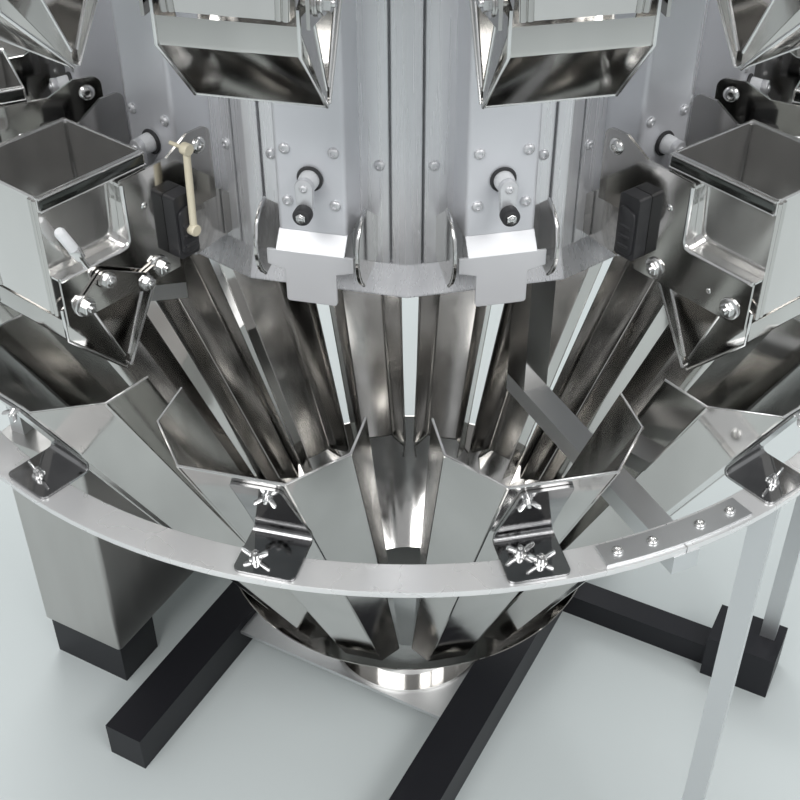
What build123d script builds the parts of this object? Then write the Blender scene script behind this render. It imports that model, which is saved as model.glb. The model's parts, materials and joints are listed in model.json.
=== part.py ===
from build123d import *
import math
import os

# A fourteen-head multihead weigher, whole from the floor up, in millimetres.
# The origin is on the floor, on the machine's own upright axis. The front, where two
# weigh hoppers have been lifted off their drive units, faces -Y.

# Heads round the machine
HEADS = 14
HEAD_PITCH = 360 / HEADS
HALF_PITCH = HEAD_PITCH / 2
FRONT_DIRECTION = -90

# Heights above the floor
RING_TOP = 720
BODY_BOTTOM = RING_TOP + 140
BODY_TOP = RING_TOP + 575
FEED_LIFT = 272

# Sheet and fits
SHEET = 1.5
HEAVY_SHEET = 2.5
SEAT_GAP = 0.3
MOVING_GAP = 5

# Drive body
CORE_INRADIUS = 298
COVER_FACE = 311
COVER_WIDTH = 111
COVER_JOINT = 2.5
SKIRT_FLARE = 9
SKIRT_HEIGHT = 28
PANEL_FACE = 352
PANEL_WIDTH = 61
PANEL_BOTTOM = RING_TOP + 215
PANEL_TOP = RING_TOP + 562
PANEL_EDGE = 4
DECK_INRADIUS = 322
DECK_THICKNESS = 10

# Drive shafts, cranks and rollers
SHAFT_HEIGHT = RING_TOP + 265
SEAL_RADIUS = 10.5
SEAL_STEP = 2
SHAFT_RADIUS = 7.5
SHAFT_LENGTH = 24
CRANK_LENGTH = 21
CRANK_WIDTH = 15
CRANK_THICKNESS = 6
CRANK_OFFSET = 13
ROLLER_RADIUS = 8
ROLLER_LENGTH = 15

# Hanging plate and hanger ears under each panel
LIP_DROP = 14
LIP_REACH = 10
PLATE_SHOULDER_WIDTH = 76
PLATE_NECK_WIDTH = 60
PLATE_SHOULDER_TOP = RING_TOP + 208
PLATE_SHOULDER_BOTTOM = RING_TOP + 187
PLATE_TONGUE_WIDTH = 45
PLATE_TONGUE_CORNER = 3
PLATE_BOTTOM = RING_TOP + 152
EAR_SPREAD = 88
EAR_TIP = (345, RING_TOP + 238)
EAR_BELLY = (374, RING_TOP + 212)
EAR_HEEL = (356, RING_TOP + 171)
EAR_ROOT = (RING_TOP + 176, RING_TOP + 214)

# Weigh hopper, and the feed hopper of the same form above it
HOPPER_BACK = 402
HOPPER_FRONT = 506
HOPPER_TOP = RING_TOP + 290
HOPPER_BOTTOM = RING_TOP + 180
HOPPER_TOP_WIDTH = 96
HOPPER_BOTTOM_WIDTH = 85
HOPPER_TAPER = 3
RIM_HEIGHT = 12
RIM_STAND = 2
DOOR_TIP_HEIGHT = RING_TOP + 102
DOOR_TIP_RADIUS = 449
DOOR_WIDTH = 97
DOOR_FLANGE = 13
PIVOT_HEIGHT = RING_TOP + 188
BACK_PIVOT = 407
FRONT_PIVOT = 487
PIN_RADIUS = 3.5
EYE_RADIUS = 8
BRACKET_INNER = DOOR_WIDTH / 2 + MOVING_GAP
BRACKET_LEG = 49
BRACKET_FOOT = 43
BRACKET_FRONT = 504
BRACKET_BEND = 8
BRACKET_BEHIND = 18
HOOK_REACH = 49
HOOK_TOP = RING_TOP + 291
HOOK_BOTTOM = RING_TOP + 224
HOOK_CORNER = 9
PAD_SIZE = 14
PEG_RADIUS = 4
PEG_RADIUS_PLACE = 347
PEG_HEIGHT = RING_TOP + 230
BLOCK_WIDTH = 14
BLOCK_DEPTH = 22
BLOCK_HEIGHT = 58
BLOCK_BOTTOM = RING_TOP + 192
BLOCK_EDGE = 3

# Door levers and the link bar between them
FRONT_LEVER = (-22, 16)
BACK_LEVER = (20, -5)
LEVER_WIDTH = 13
PIN_STAND = 11
LINK_STEP = 1
LINK_PIN_RADIUS = 3
LINK_SLACK = 2.8
LINK_WIDTH = 16
DOOR_SLOPE_WALL = 2.4

# Discharge chutes
CHUTE_TOP = RING_TOP + 110
CHUTE_BOTTOM = RING_TOP - 470
CHUTE_SHEET = 2
MOUTH_FRONT = 550
MOUTH_FRONT_WIDTH = 90
MOUTH_CORNER = 503
MOUTH_CORNER_WIDTH = 166
MOUTH_BACK = 456
MOUTH_BACK_WIDTH = 164
FOOT_FRONT = 228
FOOT_FRONT_WIDTH = 48
FOOT_CORNER = 204
FOOT_CORNER_WIDTH = 80
FOOT_BACK = 182
FOOT_BACK_WIDTH = 68
LEFT_CHUTE_TURN = -1.2

# Chute ring, its splices and its brackets
RING_OUTER = 551
RING_WIDTH = 32
RING_THICKNESS = 6
RING_SPLIT = 1.0
SPLICE_LENGTH = 150
BRACKET_WIDTH = 54
BRACKET_SEAT = 44
BRACKET_RISE = 62
SEAT_CORNER = 8
RIGHT_BRACKET_SHIFT = -10
LEFT_BRACKET_SHIFT = 17

# Support arms and uprights
ARM_WIDTH = 26
ARM_HEIGHT = 20
ARM_END = 552
ARM_INNER = 262
UPRIGHT_DEPTH = 34

# Base, turned a little from the front; places are across and along the turned base
BASE_TURN = -27.5
BAR_PLACES = (-257, 148)
BAR_WIDTH = 60
BAR_HEIGHT = 60
BAR_LENGTH = 720
BOX_INNER = 342
BOX_OUTER = 485
BOX_LENGTH = 510
BOX_BOTTOM = 78
BOX_TOP = RING_TOP - 290
BOX_EDGE = 6
FOOT_INSET = 6
FOOT_LENGTH = 76
FOOT_REACH = 100
CROSS_BAR_HEIGHT = 40
POST_WIDTH = 22
POST_RADIUS = 535
POST_ACROSS = 485
POST_FOOT_MARGIN = 12

# Collecting funnel
FUNNEL_RIM_RADIUS = 252
FUNNEL_RIM = RING_TOP - 455
FUNNEL_NECK_RADIUS = 98
FUNNEL_NECK = RING_TOP - 590
FUNNEL_OUTLET = 30
COLLAR_WIDTH = 14
COLLAR_HEIGHT = 5
CARRIER_HEIGHT = 40
CARRIER_THICKNESS = 6
CARRIER_LENGTH = 236

# Feeders on the top deck
PAN_INNER = 150
PAN_OUTER = 452
PAN_FLOOR = RING_TOP + 628
PAN_WALL = 46
PAN_INNER_WIDTH = 52
PAN_OUTER_WIDTH = 120
VIBRATOR_WIDTH = 56
VIBRATOR_BACK = 236
VIBRATOR_FRONT = 312
HUB_RADIUS = 120
HUB_SHAFT_RADIUS = 40
CONE_SHEET = 2
CONE_LIP = 8
CONE_RADIUS = 206
CONE_EDGE = RING_TOP + 690
CONE_TIP = RING_TOP + 760

HEAD_PLACES = [Rotation(0, 0, FRONT_DIRECTION + HALF_PITCH + k * HEAD_PITCH) for k in range(HEADS)]
RIGHT_FRONT = HEAD_PLACES[0]
LEFT_FRONT = HEAD_PLACES[-1]
RIGHT_HOPPER = HEAD_PLACES[1]
LEFT_HOPPER = HEAD_PLACES[-2]
OTHER_HOPPERS = HEAD_PLACES[2:-2]
OTHER_CRANKS = HEAD_PLACES[1:-1]
FEED_PLACES = [Location((0, 0, FEED_LIFT)) * place for place in HEAD_PLACES]
ARM_PLACES = [Rotation(0, 0, FRONT_DIRECTION + k * HEAD_PITCH) for k in (1, 4, 8, 11)]
LEFT_CHUTE = Rotation(0, 0, FRONT_DIRECTION - HALF_PITCH + LEFT_CHUTE_TURN)
CHUTE_BRACKET_PLACES = [RIGHT_FRONT * Location((0, RIGHT_BRACKET_SHIFT, 0)), *HEAD_PLACES[1:-1],
                        LEFT_CHUTE * Location((0, LEFT_BRACKET_SHIFT, 0))]
SPLICE_PLACES = [Rotation(0, 0, FRONT_DIRECTION + k * HEAD_PITCH) for k in (1, 8)]

os.makedirs("parts", exist_ok=True)


def write(label, shape):
    """Name a finished sub-part and write its own STEP file."""
    shape.label = label
    export_step(shape, f"parts/{label}.step")


def copies(unit, places):
    """The same unit at each of several turns about the machine's axis."""
    with BuildPart() as group:
        with Locations(*places):
            add(unit)
    return group.part


def side_plane(side):
    """The upright plane through a head's own middle line, moved sideways.

    A point (r, z) of a sketch on it lies r from the machine's axis and z above the floor.
    """
    return Plane(origin=(0, side, 0), x_dir=(1, 0, 0), z_dir=(0, -1, 0))


# Base: black bars on the floor, foot blocks, the side box and four slim posts under the ring
base_turn = math.radians(BASE_TURN)
base_plane = Plane(origin=(0, 0, 0), x_dir=(math.cos(base_turn), math.sin(base_turn), 0))
box_width = BOX_OUTER - BOX_INNER
box_middle = (BOX_INNER + BOX_OUTER) / 2
foot_along = (BOX_LENGTH - FOOT_LENGTH) / 2 - FOOT_INSET
post_along = math.sqrt(POST_RADIUS ** 2 - POST_ACROSS ** 2)
post_foot_across = POST_ACROSS + POST_WIDTH / 2 + POST_FOOT_MARGIN - FOOT_REACH / 2

with BuildPart() as floor_frame:
    with BuildSketch(base_plane):
        for across in BAR_PLACES:
            with Locations((across, 0)):
                Rectangle(BAR_WIDTH, BAR_LENGTH)
    extrude(amount=BAR_HEIGHT)
    cross_start = FOOT_INSET - BOX_OUTER + box_width - 2 * FOOT_INSET + SEAT_GAP
    cross_end = post_foot_across - FOOT_REACH / 2 - SEAT_GAP
    with BuildSketch(base_plane):
        with Locations(((cross_start + cross_end) / 2, foot_along)):
            Rectangle(cross_end - cross_start, CROSS_BAR_HEIGHT)
    extrude(amount=CROSS_BAR_HEIGHT)
write("floor_frame", floor_frame.part)

with BuildPart() as foot_blocks:
    with BuildSketch(base_plane):
        with Locations((-box_middle, -foot_along), (-box_middle, foot_along)):
            Rectangle(box_width - 2 * FOOT_INSET, FOOT_LENGTH)
        with Locations((post_foot_across, -foot_along), (post_foot_across, foot_along)):
            Rectangle(FOOT_REACH, FOOT_LENGTH)
    extrude(amount=BOX_BOTTOM)
write("foot_blocks", foot_blocks.part)

with BuildPart() as side_box:
    with BuildSketch(base_plane.offset(BOX_BOTTOM)):
        with Locations((-box_middle, 0)):
            Rectangle(box_width, BOX_LENGTH)
    extrude(amount=BOX_TOP - BOX_BOTTOM)
    fillet(side_box.edges().filter_by(Axis.Z), BOX_EDGE)
write("side_box", side_box.part)

with BuildPart() as slim_posts:
    for across, foot in ((-POST_ACROSS + POST_WIDTH, BOX_TOP), (POST_ACROSS, BOX_BOTTOM)):
        with BuildSketch(base_plane.offset(foot)):
            with Locations((across, -post_along), (across, post_along)):
                Rectangle(POST_WIDTH, POST_WIDTH)
        extrude(amount=RING_TOP - RING_THICKNESS - foot)
write("slim_posts", slim_posts.part)

with BuildPart() as funnel_carrier:
    with BuildSketch(base_plane.offset(CARRIER_HEIGHT)):
        with Locations((sum(BAR_PLACES) / 2, 0)):
            Rectangle(BAR_PLACES[1] - BAR_PLACES[0] - BAR_WIDTH - 2 * SEAT_GAP, CARRIER_LENGTH)
        Circle(FUNNEL_NECK_RADIUS + SHEET + SEAT_GAP, mode=Mode.SUBTRACT)
    extrude(amount=CARRIER_THICKNESS)
write("funnel_carrier", funnel_carrier.part)

collar_seat = CARRIER_HEIGHT + CARRIER_THICKNESS
neck_outside = FUNNEL_NECK_RADIUS + SHEET
with BuildPart() as funnel:
    with BuildSketch(Plane.XZ):
        with BuildLine():
            Polyline((FUNNEL_NECK_RADIUS, FUNNEL_OUTLET), (FUNNEL_NECK_RADIUS, FUNNEL_NECK),
                     (FUNNEL_RIM_RADIUS, FUNNEL_RIM), (FUNNEL_RIM_RADIUS + SHEET, FUNNEL_RIM),
                     (neck_outside, FUNNEL_NECK - SHEET), (neck_outside, collar_seat + COLLAR_HEIGHT),
                     (neck_outside + COLLAR_WIDTH, collar_seat + COLLAR_HEIGHT),
                     (neck_outside + COLLAR_WIDTH, collar_seat), (neck_outside, collar_seat),
                     (neck_outside, FUNNEL_OUTLET), close=True)
        make_face()
    revolve(axis=Axis.Z)
write("collecting_funnel", funnel.part)

# Support arms, and the uprights that carry the body on them
with BuildPart() as arm_unit:
    with Locations(((ARM_INNER + ARM_END) / 2, 0, RING_TOP - RING_THICKNESS - ARM_HEIGHT / 2)):
        Box(ARM_END - ARM_INNER, ARM_WIDTH, ARM_HEIGHT)
write("support_arms", copies(arm_unit.part, ARM_PLACES))

with BuildPart() as upright_unit:
    with Locations((ARM_INNER + UPRIGHT_DEPTH / 2, 0, (RING_TOP - RING_THICKNESS + BODY_BOTTOM) / 2)):
        Box(UPRIGHT_DEPTH, ARM_WIDTH, BODY_BOTTOM - RING_TOP + RING_THICKNESS)
write("arm_uprights", copies(upright_unit.part, ARM_PLACES))

# Chute ring in two halves, with a splice plate under each joint
SPLIT_TURN = FRONT_DIRECTION + HEAD_PITCH


def ring_half(turn):
    """Half of the flat ring, from one joint to the other."""
    half_turn = Plane.XY.rotated((0, 0, turn))
    with BuildPart() as half:
        with BuildSketch(half_turn.offset(RING_TOP - RING_THICKNESS)):
            Circle(RING_OUTER)
            Circle(RING_OUTER - RING_WIDTH, mode=Mode.SUBTRACT)
            with Locations((0, -RING_OUTER + RING_SPLIT / 2)):
                Rectangle(2 * RING_OUTER + RING_SPLIT, 2 * RING_OUTER, mode=Mode.SUBTRACT)
        extrude(amount=RING_THICKNESS)
    return half.part


write("ring_half_left", ring_half(SPLIT_TURN + 180))
write("ring_half_right", ring_half(SPLIT_TURN))

splice_angle = math.degrees(SPLICE_LENGTH / RING_OUTER)
with BuildPart() as splice_unit:
    with BuildSketch(Plane.XY.offset(RING_TOP)):
        with BuildLine():
            outer = CenterArc((0, 0), RING_OUTER - 4, -splice_angle / 2, splice_angle)
            inner = CenterArc((0, 0), RING_OUTER - RING_WIDTH + 4, -splice_angle / 2, splice_angle)
            Line(outer @ 0, inner @ 0)
            Line(outer @ 1, inner @ 1)
        make_face()
    extrude(amount=HEAVY_SHEET)
write("ring_splices", copies(splice_unit.part, SPLICE_PLACES))


def chute_outline(front, front_width, corner, corner_width, back, back_width):
    """The open half-hexagon of a chute, as points of radius and sideways distance."""
    return [(back, -back_width / 2), (corner, -corner_width / 2), (front, -front_width / 2),
            (front, front_width / 2), (corner, corner_width / 2), (back, back_width / 2)]


def chute_section(height, grow):
    """A closed chute section at one height; grow moves its sheet faces outward."""
    share = (CHUTE_TOP - height) / (CHUTE_TOP - CHUTE_BOTTOM)
    top = chute_outline(MOUTH_FRONT + grow, MOUTH_FRONT_WIDTH + grow, MOUTH_CORNER + grow,
                        MOUTH_CORNER_WIDTH + 2 * grow, MOUTH_BACK, MOUTH_BACK_WIDTH + 2 * grow)
    foot = chute_outline(FOOT_FRONT + grow, FOOT_FRONT_WIDTH + grow, FOOT_CORNER + grow,
                         FOOT_CORNER_WIDTH + 2 * grow, FOOT_BACK, FOOT_BACK_WIDTH + 2 * grow)
    return [(a + (c - a) * share, b + (d - b) * share) for (a, b), (c, d) in zip(top, foot)]


# Discharge chutes: bent sheet troughs, open at the top, the foot and towards the axis
with BuildPart() as chute_unit:
    for height in (CHUTE_TOP, CHUTE_BOTTOM):
        with BuildSketch(Plane.XY.offset(height)):
            with BuildLine():
                Polyline(*chute_section(height, 0), close=True)
            make_face()
    loft()
    for height in (CHUTE_TOP, CHUTE_BOTTOM):
        with BuildSketch(Plane.XY.offset(height)):
            with BuildLine():
                inside = chute_section(height, -CHUTE_SHEET)
                Polyline((inside[0][0] - CHUTE_SHEET, inside[0][1]), *inside[1:-1],
                         (inside[-1][0] - CHUTE_SHEET, inside[-1][1]), close=True)
            make_face()
    loft(mode=Mode.SUBTRACT)
write("chutes_right", copies(chute_unit.part, HEAD_PLACES[:HEADS // 2]))
write("chutes_left", copies(chute_unit.part, HEAD_PLACES[HEADS // 2:-1] + [LEFT_CHUTE]))

# Bent brackets that carry the chutes on the ring
face_slope = (MOUTH_FRONT - FOOT_FRONT) / (CHUTE_TOP - CHUTE_BOTTOM)


def face_radius(height):
    """Radius of a chute's outer face at a height."""
    return MOUTH_FRONT - (CHUTE_TOP - height) * face_slope


seat_inner = RING_OUTER - BRACKET_SEAT
knee = RING_TOP + 38
with BuildPart() as chute_bracket_unit:
    with BuildSketch(side_plane(BRACKET_WIDTH / 2)):
        with BuildLine():
            Polyline((RING_OUTER - 3, RING_TOP), (seat_inner, RING_TOP),
                     (face_radius(knee) + SEAT_GAP, knee),
                     (face_radius(knee + BRACKET_RISE) + SEAT_GAP, knee + BRACKET_RISE),
                     (face_radius(knee + BRACKET_RISE) + SEAT_GAP + HEAVY_SHEET, knee + BRACKET_RISE),
                     (face_radius(knee) + SEAT_GAP + HEAVY_SHEET, knee),
                     (seat_inner + HEAVY_SHEET, RING_TOP + HEAVY_SHEET),
                     (RING_OUTER - 3, RING_TOP + HEAVY_SHEET), close=True)
        make_face()
    extrude(amount=BRACKET_WIDTH)
    fillet(chute_bracket_unit.edges().filter_by(Axis.Z).group_by(Axis.X)[-1], SEAT_CORNER)
write("chute_brackets", copies(chute_bracket_unit.part, CHUTE_BRACKET_PLACES))

# Drive body: the core, its corner columns with the skirt, covers, drive boxes and deck
flat_turn = HALF_PITCH + FRONT_DIRECTION + HALF_PITCH


def fourteen_sided(inradius):
    """Outline of the body with a flat side in front of every head."""
    return RegularPolygon(inradius, HEADS, major_radius=False, rotation=flat_turn)


with BuildPart() as body_core:
    with BuildSketch(Plane.XY.offset(BODY_BOTTOM)):
        fourteen_sided(CORE_INRADIUS)
    extrude(amount=BODY_TOP - BODY_BOTTOM)
write("body_core", body_core.part)

with BuildPart() as corner_columns:
    with BuildSketch(Plane.XY.offset(BODY_BOTTOM)):
        fourteen_sided(COVER_FACE + SKIRT_FLARE)
    with BuildSketch(Plane.XY.offset(BODY_BOTTOM + SKIRT_HEIGHT)):
        fourteen_sided(COVER_FACE)
    loft()
    with BuildSketch(Plane.XY.offset(BODY_BOTTOM + SKIRT_HEIGHT)):
        fourteen_sided(COVER_FACE)
    extrude(amount=BODY_TOP - BODY_BOTTOM - SKIRT_HEIGHT)
    with BuildSketch(Plane.XY.offset(BODY_BOTTOM)):
        fourteen_sided(CORE_INRADIUS)
    extrude(amount=BODY_TOP - BODY_BOTTOM, mode=Mode.SUBTRACT)
    with Locations(*HEAD_PLACES):
        with Locations((COVER_FACE, 0, (BODY_BOTTOM + SKIRT_HEIGHT + BODY_TOP) / 2)):
            Box(4 * SKIRT_FLARE, COVER_WIDTH + 2 * COVER_JOINT, BODY_TOP - BODY_BOTTOM - SKIRT_HEIGHT,
                mode=Mode.SUBTRACT)
write("corner_columns", corner_columns.part)

with BuildPart() as cover_unit:
    with Locations(((CORE_INRADIUS + COVER_FACE) / 2, 0, (BODY_BOTTOM + SKIRT_HEIGHT + BODY_TOP) / 2)):
        Box(COVER_FACE - CORE_INRADIUS, COVER_WIDTH, BODY_TOP - BODY_BOTTOM - SKIRT_HEIGHT)
write("flange_covers", copies(cover_unit.part, HEAD_PLACES))

with BuildPart() as drive_box_unit:
    with Locations(((COVER_FACE + PANEL_FACE) / 2, 0, (PANEL_BOTTOM + PANEL_TOP) / 2)):
        Box(PANEL_FACE - COVER_FACE, PANEL_WIDTH, PANEL_TOP - PANEL_BOTTOM)
    fillet(drive_box_unit.edges().filter_by(Axis.Z).group_by(Axis.X)[-1], PANEL_EDGE)
write("drive_boxes", copies(drive_box_unit.part, HEAD_PLACES))

with BuildPart() as top_deck:
    with BuildSketch(Plane.XY.offset(BODY_TOP)):
        fourteen_sided(DECK_INRADIUS)
    extrude(amount=DECK_THICKNESS)
write("top_deck", top_deck.part)

# Hanging plate under each drive box: sloping lip, shoulders and tongue
plate_face = PANEL_FACE + LIP_REACH
with BuildPart() as hanging_plate_unit:
    with BuildSketch(Plane(origin=(plate_face, 0, 0), x_dir=(0, 1, 0), z_dir=(1, 0, 0))):
        with BuildLine():
            Polyline((-PLATE_NECK_WIDTH / 2, PANEL_BOTTOM - LIP_DROP),
                     (PLATE_NECK_WIDTH / 2, PANEL_BOTTOM - LIP_DROP),
                     (PLATE_SHOULDER_WIDTH / 2, PLATE_SHOULDER_TOP - LIP_DROP / 2),
                     (PLATE_SHOULDER_WIDTH / 2, PLATE_SHOULDER_BOTTOM),
                     (PLATE_TONGUE_WIDTH / 2, PLATE_SHOULDER_BOTTOM - 4),
                     (PLATE_TONGUE_WIDTH / 2, PLATE_BOTTOM),
                     (-PLATE_TONGUE_WIDTH / 2, PLATE_BOTTOM),
                     (-PLATE_TONGUE_WIDTH / 2, PLATE_SHOULDER_BOTTOM - 4),
                     (-PLATE_SHOULDER_WIDTH / 2, PLATE_SHOULDER_BOTTOM),
                     (-PLATE_SHOULDER_WIDTH / 2, PLATE_SHOULDER_TOP - LIP_DROP / 2), close=True)
        make_face()
    extrude(amount=HEAVY_SHEET)
    fillet(hanging_plate_unit.edges().filter_by(Axis.X).group_by(Axis.Z)[0], PLATE_TONGUE_CORNER)
    with BuildSketch(side_plane(PLATE_NECK_WIDTH / 2)):
        with BuildLine():
            Polyline((PANEL_FACE, PANEL_BOTTOM), (PANEL_FACE, PANEL_BOTTOM - HEAVY_SHEET),
                     (plate_face, PANEL_BOTTOM - LIP_DROP),
                     (plate_face + HEAVY_SHEET, PANEL_BOTTOM - LIP_DROP), close=True)
        make_face()
    extrude(amount=PLATE_NECK_WIDTH)
    with Locations(((COVER_FACE + PANEL_FACE) / 2, 0, PANEL_BOTTOM - HEAVY_SHEET / 2)):
        Box(PANEL_FACE - COVER_FACE, PLATE_NECK_WIDTH, HEAVY_SHEET)
write("hanging_plates", copies(hanging_plate_unit.part, HEAD_PLACES))

# Hanger ears: leaf-shaped upright plates that the hoppers hook on
with BuildPart() as ear_unit:
    for side in (-EAR_SPREAD / 2, EAR_SPREAD / 2):
        with BuildSketch(side_plane(side + HEAVY_SHEET / 2)):
            with BuildLine():
                back = Line((COVER_FACE, EAR_ROOT[0]), (COVER_FACE, EAR_ROOT[1]))
                Line(back @ 1, EAR_TIP)
                ThreePointArc(EAR_TIP, EAR_BELLY, EAR_HEEL)
                Line(EAR_HEEL, back @ 0)
            make_face()
        extrude(amount=HEAVY_SHEET)
write("hanger_ears", copies(ear_unit.part, HEAD_PLACES + FEED_PLACES))

# Shaft seals
with BuildPart() as seal_unit:
    with BuildSketch(Plane(origin=(PANEL_FACE, 0, SHAFT_HEIGHT), z_dir=(1, 0, 0))):
        Circle(SEAL_RADIUS)
        Circle(SHAFT_RADIUS + SEAT_GAP, mode=Mode.SUBTRACT)
    extrude(amount=SEAL_STEP)
write("shaft_seals", copies(seal_unit.part, HEAD_PLACES + FEED_PLACES))

# Shaft end, round-ended crank arm hanging straight down, and roller
panel_plane = Plane(origin=(PANEL_FACE, 0, SHAFT_HEIGHT), x_dir=(0, 1, 0), z_dir=(1, 0, 0))
with BuildPart() as crank_unit:
    with BuildSketch(panel_plane.offset(SEAT_GAP)):
        Circle(SHAFT_RADIUS)
    extrude(amount=SHAFT_LENGTH)
    with BuildSketch(panel_plane.offset(CRANK_OFFSET)):
        SlotCenterPoint((0, -CRANK_LENGTH / 2), (0, -CRANK_LENGTH), CRANK_WIDTH)
    extrude(amount=CRANK_THICKNESS)
    with BuildSketch(panel_plane.offset(CRANK_OFFSET + CRANK_THICKNESS)):
        with Locations((0, -CRANK_LENGTH)):
            Circle(ROLLER_RADIUS)
    extrude(amount=ROLLER_LENGTH)
write("crank_right", copies(crank_unit.part, [RIGHT_FRONT]))
write("crank_left", copies(crank_unit.part, [LEFT_FRONT]))
write("weigh_cranks", copies(crank_unit.part, OTHER_CRANKS))
write("feed_cranks", copies(crank_unit.part, FEED_PLACES))

# Hopper shell: four tapered walls, open at the top and at the foot, with a rim strip on each side
hopper_middle = (HOPPER_BACK + HOPPER_FRONT) / 2


def half_width(height):
    """Half the width of a hopper's outside at a height."""
    share = (HOPPER_TOP - height) / (HOPPER_TOP - HOPPER_BOTTOM)
    return (HOPPER_TOP_WIDTH + (HOPPER_BOTTOM_WIDTH - HOPPER_TOP_WIDTH) * share) / 2


def hopper_block(wall):
    """A solid hopper whose faces lie one wall thickness inside the outer ones."""
    with BuildPart() as block:
        for height, taper in ((HOPPER_TOP, 0), (HOPPER_BOTTOM, HOPPER_TAPER)):
            with BuildSketch(Plane.XY.offset(height)):
                with Locations((hopper_middle, 0)):
                    Rectangle(HOPPER_FRONT - HOPPER_BACK - 2 * (taper + wall),
                              2 * (half_width(height) - wall))
        loft()
    return block.part


with BuildPart() as shell_unit:
    add(hopper_block(0))
    add(hopper_block(SHEET), mode=Mode.SUBTRACT)
    rim_inner = half_width(HOPPER_TOP - RIM_HEIGHT) - SHEET / 2
    rim_outer = HOPPER_TOP_WIDTH / 2 + RIM_STAND
    for side in (-1, 1):
        rim_side = side * (rim_inner + rim_outer) / 2
        with Locations((hopper_middle, rim_side, HOPPER_TOP - RIM_HEIGHT / 2)):
            Box(HOPPER_FRONT - HOPPER_BACK, rim_outer - rim_inner, RIM_HEIGHT)
write("weigh_shell_right", copies(shell_unit.part, [RIGHT_HOPPER]))
write("weigh_shell_left", copies(shell_unit.part, [LEFT_HOPPER]))
write("weigh_shells_other", copies(shell_unit.part, OTHER_HOPPERS))
write("feed_shells", copies(shell_unit.part, FEED_PLACES))


def door(pivot, edge, tip, lever, link_pin):
    """One bottom door: plate, side flanges up to the pins, and a lever on one pin.

    pivot, edge and tip are radii of the hinge, of the plate's upper edge and of its tip.
    lever is the lever's end from the pin, and link_pin says whether a pin stands on it.
    """
    upper = HOPPER_BOTTOM - MOVING_GAP
    inward = 1 if tip > edge else -1
    with BuildPart() as leaf:
        with BuildSketch(side_plane(DOOR_WIDTH / 2)):
            with BuildLine():
                Polyline((edge, upper), (tip, DOOR_TIP_HEIGHT), (tip, DOOR_TIP_HEIGHT + 2 * SHEET),
                         (edge + inward * DOOR_SLOPE_WALL, upper), close=True)
            make_face()
        extrude(amount=DOOR_WIDTH)
        for side in (DOOR_WIDTH / 2, SHEET - DOOR_WIDTH / 2):
            with BuildSketch(side_plane(side)):
                with BuildLine():
                    Polyline((edge, upper), (tip, DOOR_TIP_HEIGHT), (tip, DOOR_TIP_HEIGHT + DOOR_FLANGE),
                             (pivot + inward * EYE_RADIUS, PIVOT_HEIGHT - EYE_RADIUS / 2),
                             (pivot + inward * EYE_RADIUS / 2, PIVOT_HEIGHT + EYE_RADIUS),
                             (pivot - inward * EYE_RADIUS / 4, PIVOT_HEIGHT + EYE_RADIUS),
                             (edge, PIVOT_HEIGHT), close=True)
                make_face()
            extrude(amount=SHEET)
        for start in (DOOR_WIDTH / 2 + PIN_STAND, -DOOR_WIDTH / 2):
            with BuildSketch(side_plane(start)):
                with Locations((pivot, PIVOT_HEIGHT)):
                    Circle(PIN_RADIUS)
            extrude(amount=PIN_STAND)
        with BuildSketch(side_plane(DOOR_WIDTH / 2 + PIN_STAND)):
            with Locations((pivot, PIVOT_HEIGHT)):
                SlotCenterPoint((lever[0] / 2, lever[1] / 2), lever, LEVER_WIDTH)
            if not link_pin:
                with Locations((pivot + lever[0], PIVOT_HEIGHT + lever[1])):
                    Circle(LINK_PIN_RADIUS + SEAT_GAP, mode=Mode.SUBTRACT)
        extrude(amount=HEAVY_SHEET)
        if link_pin:
            with BuildSketch(side_plane(DOOR_WIDTH / 2 + PIN_STAND + LINK_STEP + HEAVY_SHEET)):
                with Locations((pivot + lever[0], PIVOT_HEIGHT + lever[1])):
                    Circle(LINK_PIN_RADIUS)
            extrude(amount=LINK_STEP + HEAVY_SHEET)
    return leaf.part


back_door = door(BACK_PIVOT, HOPPER_BACK + HOPPER_TAPER, DOOR_TIP_RADIUS - MOVING_GAP / 2, BACK_LEVER, True)
front_door = door(FRONT_PIVOT, HOPPER_FRONT - HOPPER_TAPER, DOOR_TIP_RADIUS + MOVING_GAP / 2,
                  FRONT_LEVER, False)
write("weigh_door_right_back", copies(back_door, [RIGHT_HOPPER]))
write("weigh_door_right_front", copies(front_door, [RIGHT_HOPPER]))
write("weigh_door_left_back", copies(back_door, [LEFT_HOPPER]))
write("weigh_door_left_front", copies(front_door, [LEFT_HOPPER]))
write("weigh_doors_other_back", copies(back_door, OTHER_HOPPERS))
write("weigh_doors_other_front", copies(front_door, OTHER_HOPPERS))
write("feed_doors_back", copies(back_door, FEED_PLACES))
write("feed_doors_front", copies(front_door, FEED_PLACES))

# Link bar between the two levers: its pin turns in the front lever, its slack eye takes the back pin
link_front = (FRONT_PIVOT + FRONT_LEVER[0], PIVOT_HEIGHT + FRONT_LEVER[1])
link_back = (BACK_PIVOT + BACK_LEVER[0], PIVOT_HEIGHT + BACK_LEVER[1])
link_half = ((link_front[0] + link_back[0]) / 2, (link_front[1] + link_back[1]) / 2)
with BuildPart() as link_unit:
    with BuildSketch(side_plane(DOOR_WIDTH / 2 + PIN_STAND + LINK_STEP + HEAVY_SHEET)):
        SlotCenterPoint(link_half, link_front, LINK_WIDTH)
        with Locations(link_back):
            Circle(LINK_PIN_RADIUS + LINK_SLACK, mode=Mode.SUBTRACT)
    extrude(amount=HEAVY_SHEET)
    with BuildSketch(side_plane(DOOR_WIDTH / 2 + PIN_STAND + LINK_STEP + SEAT_GAP)):
        with Locations(link_front):
            Circle(LINK_PIN_RADIUS)
    extrude(amount=LINK_STEP + HEAVY_SHEET)
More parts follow.
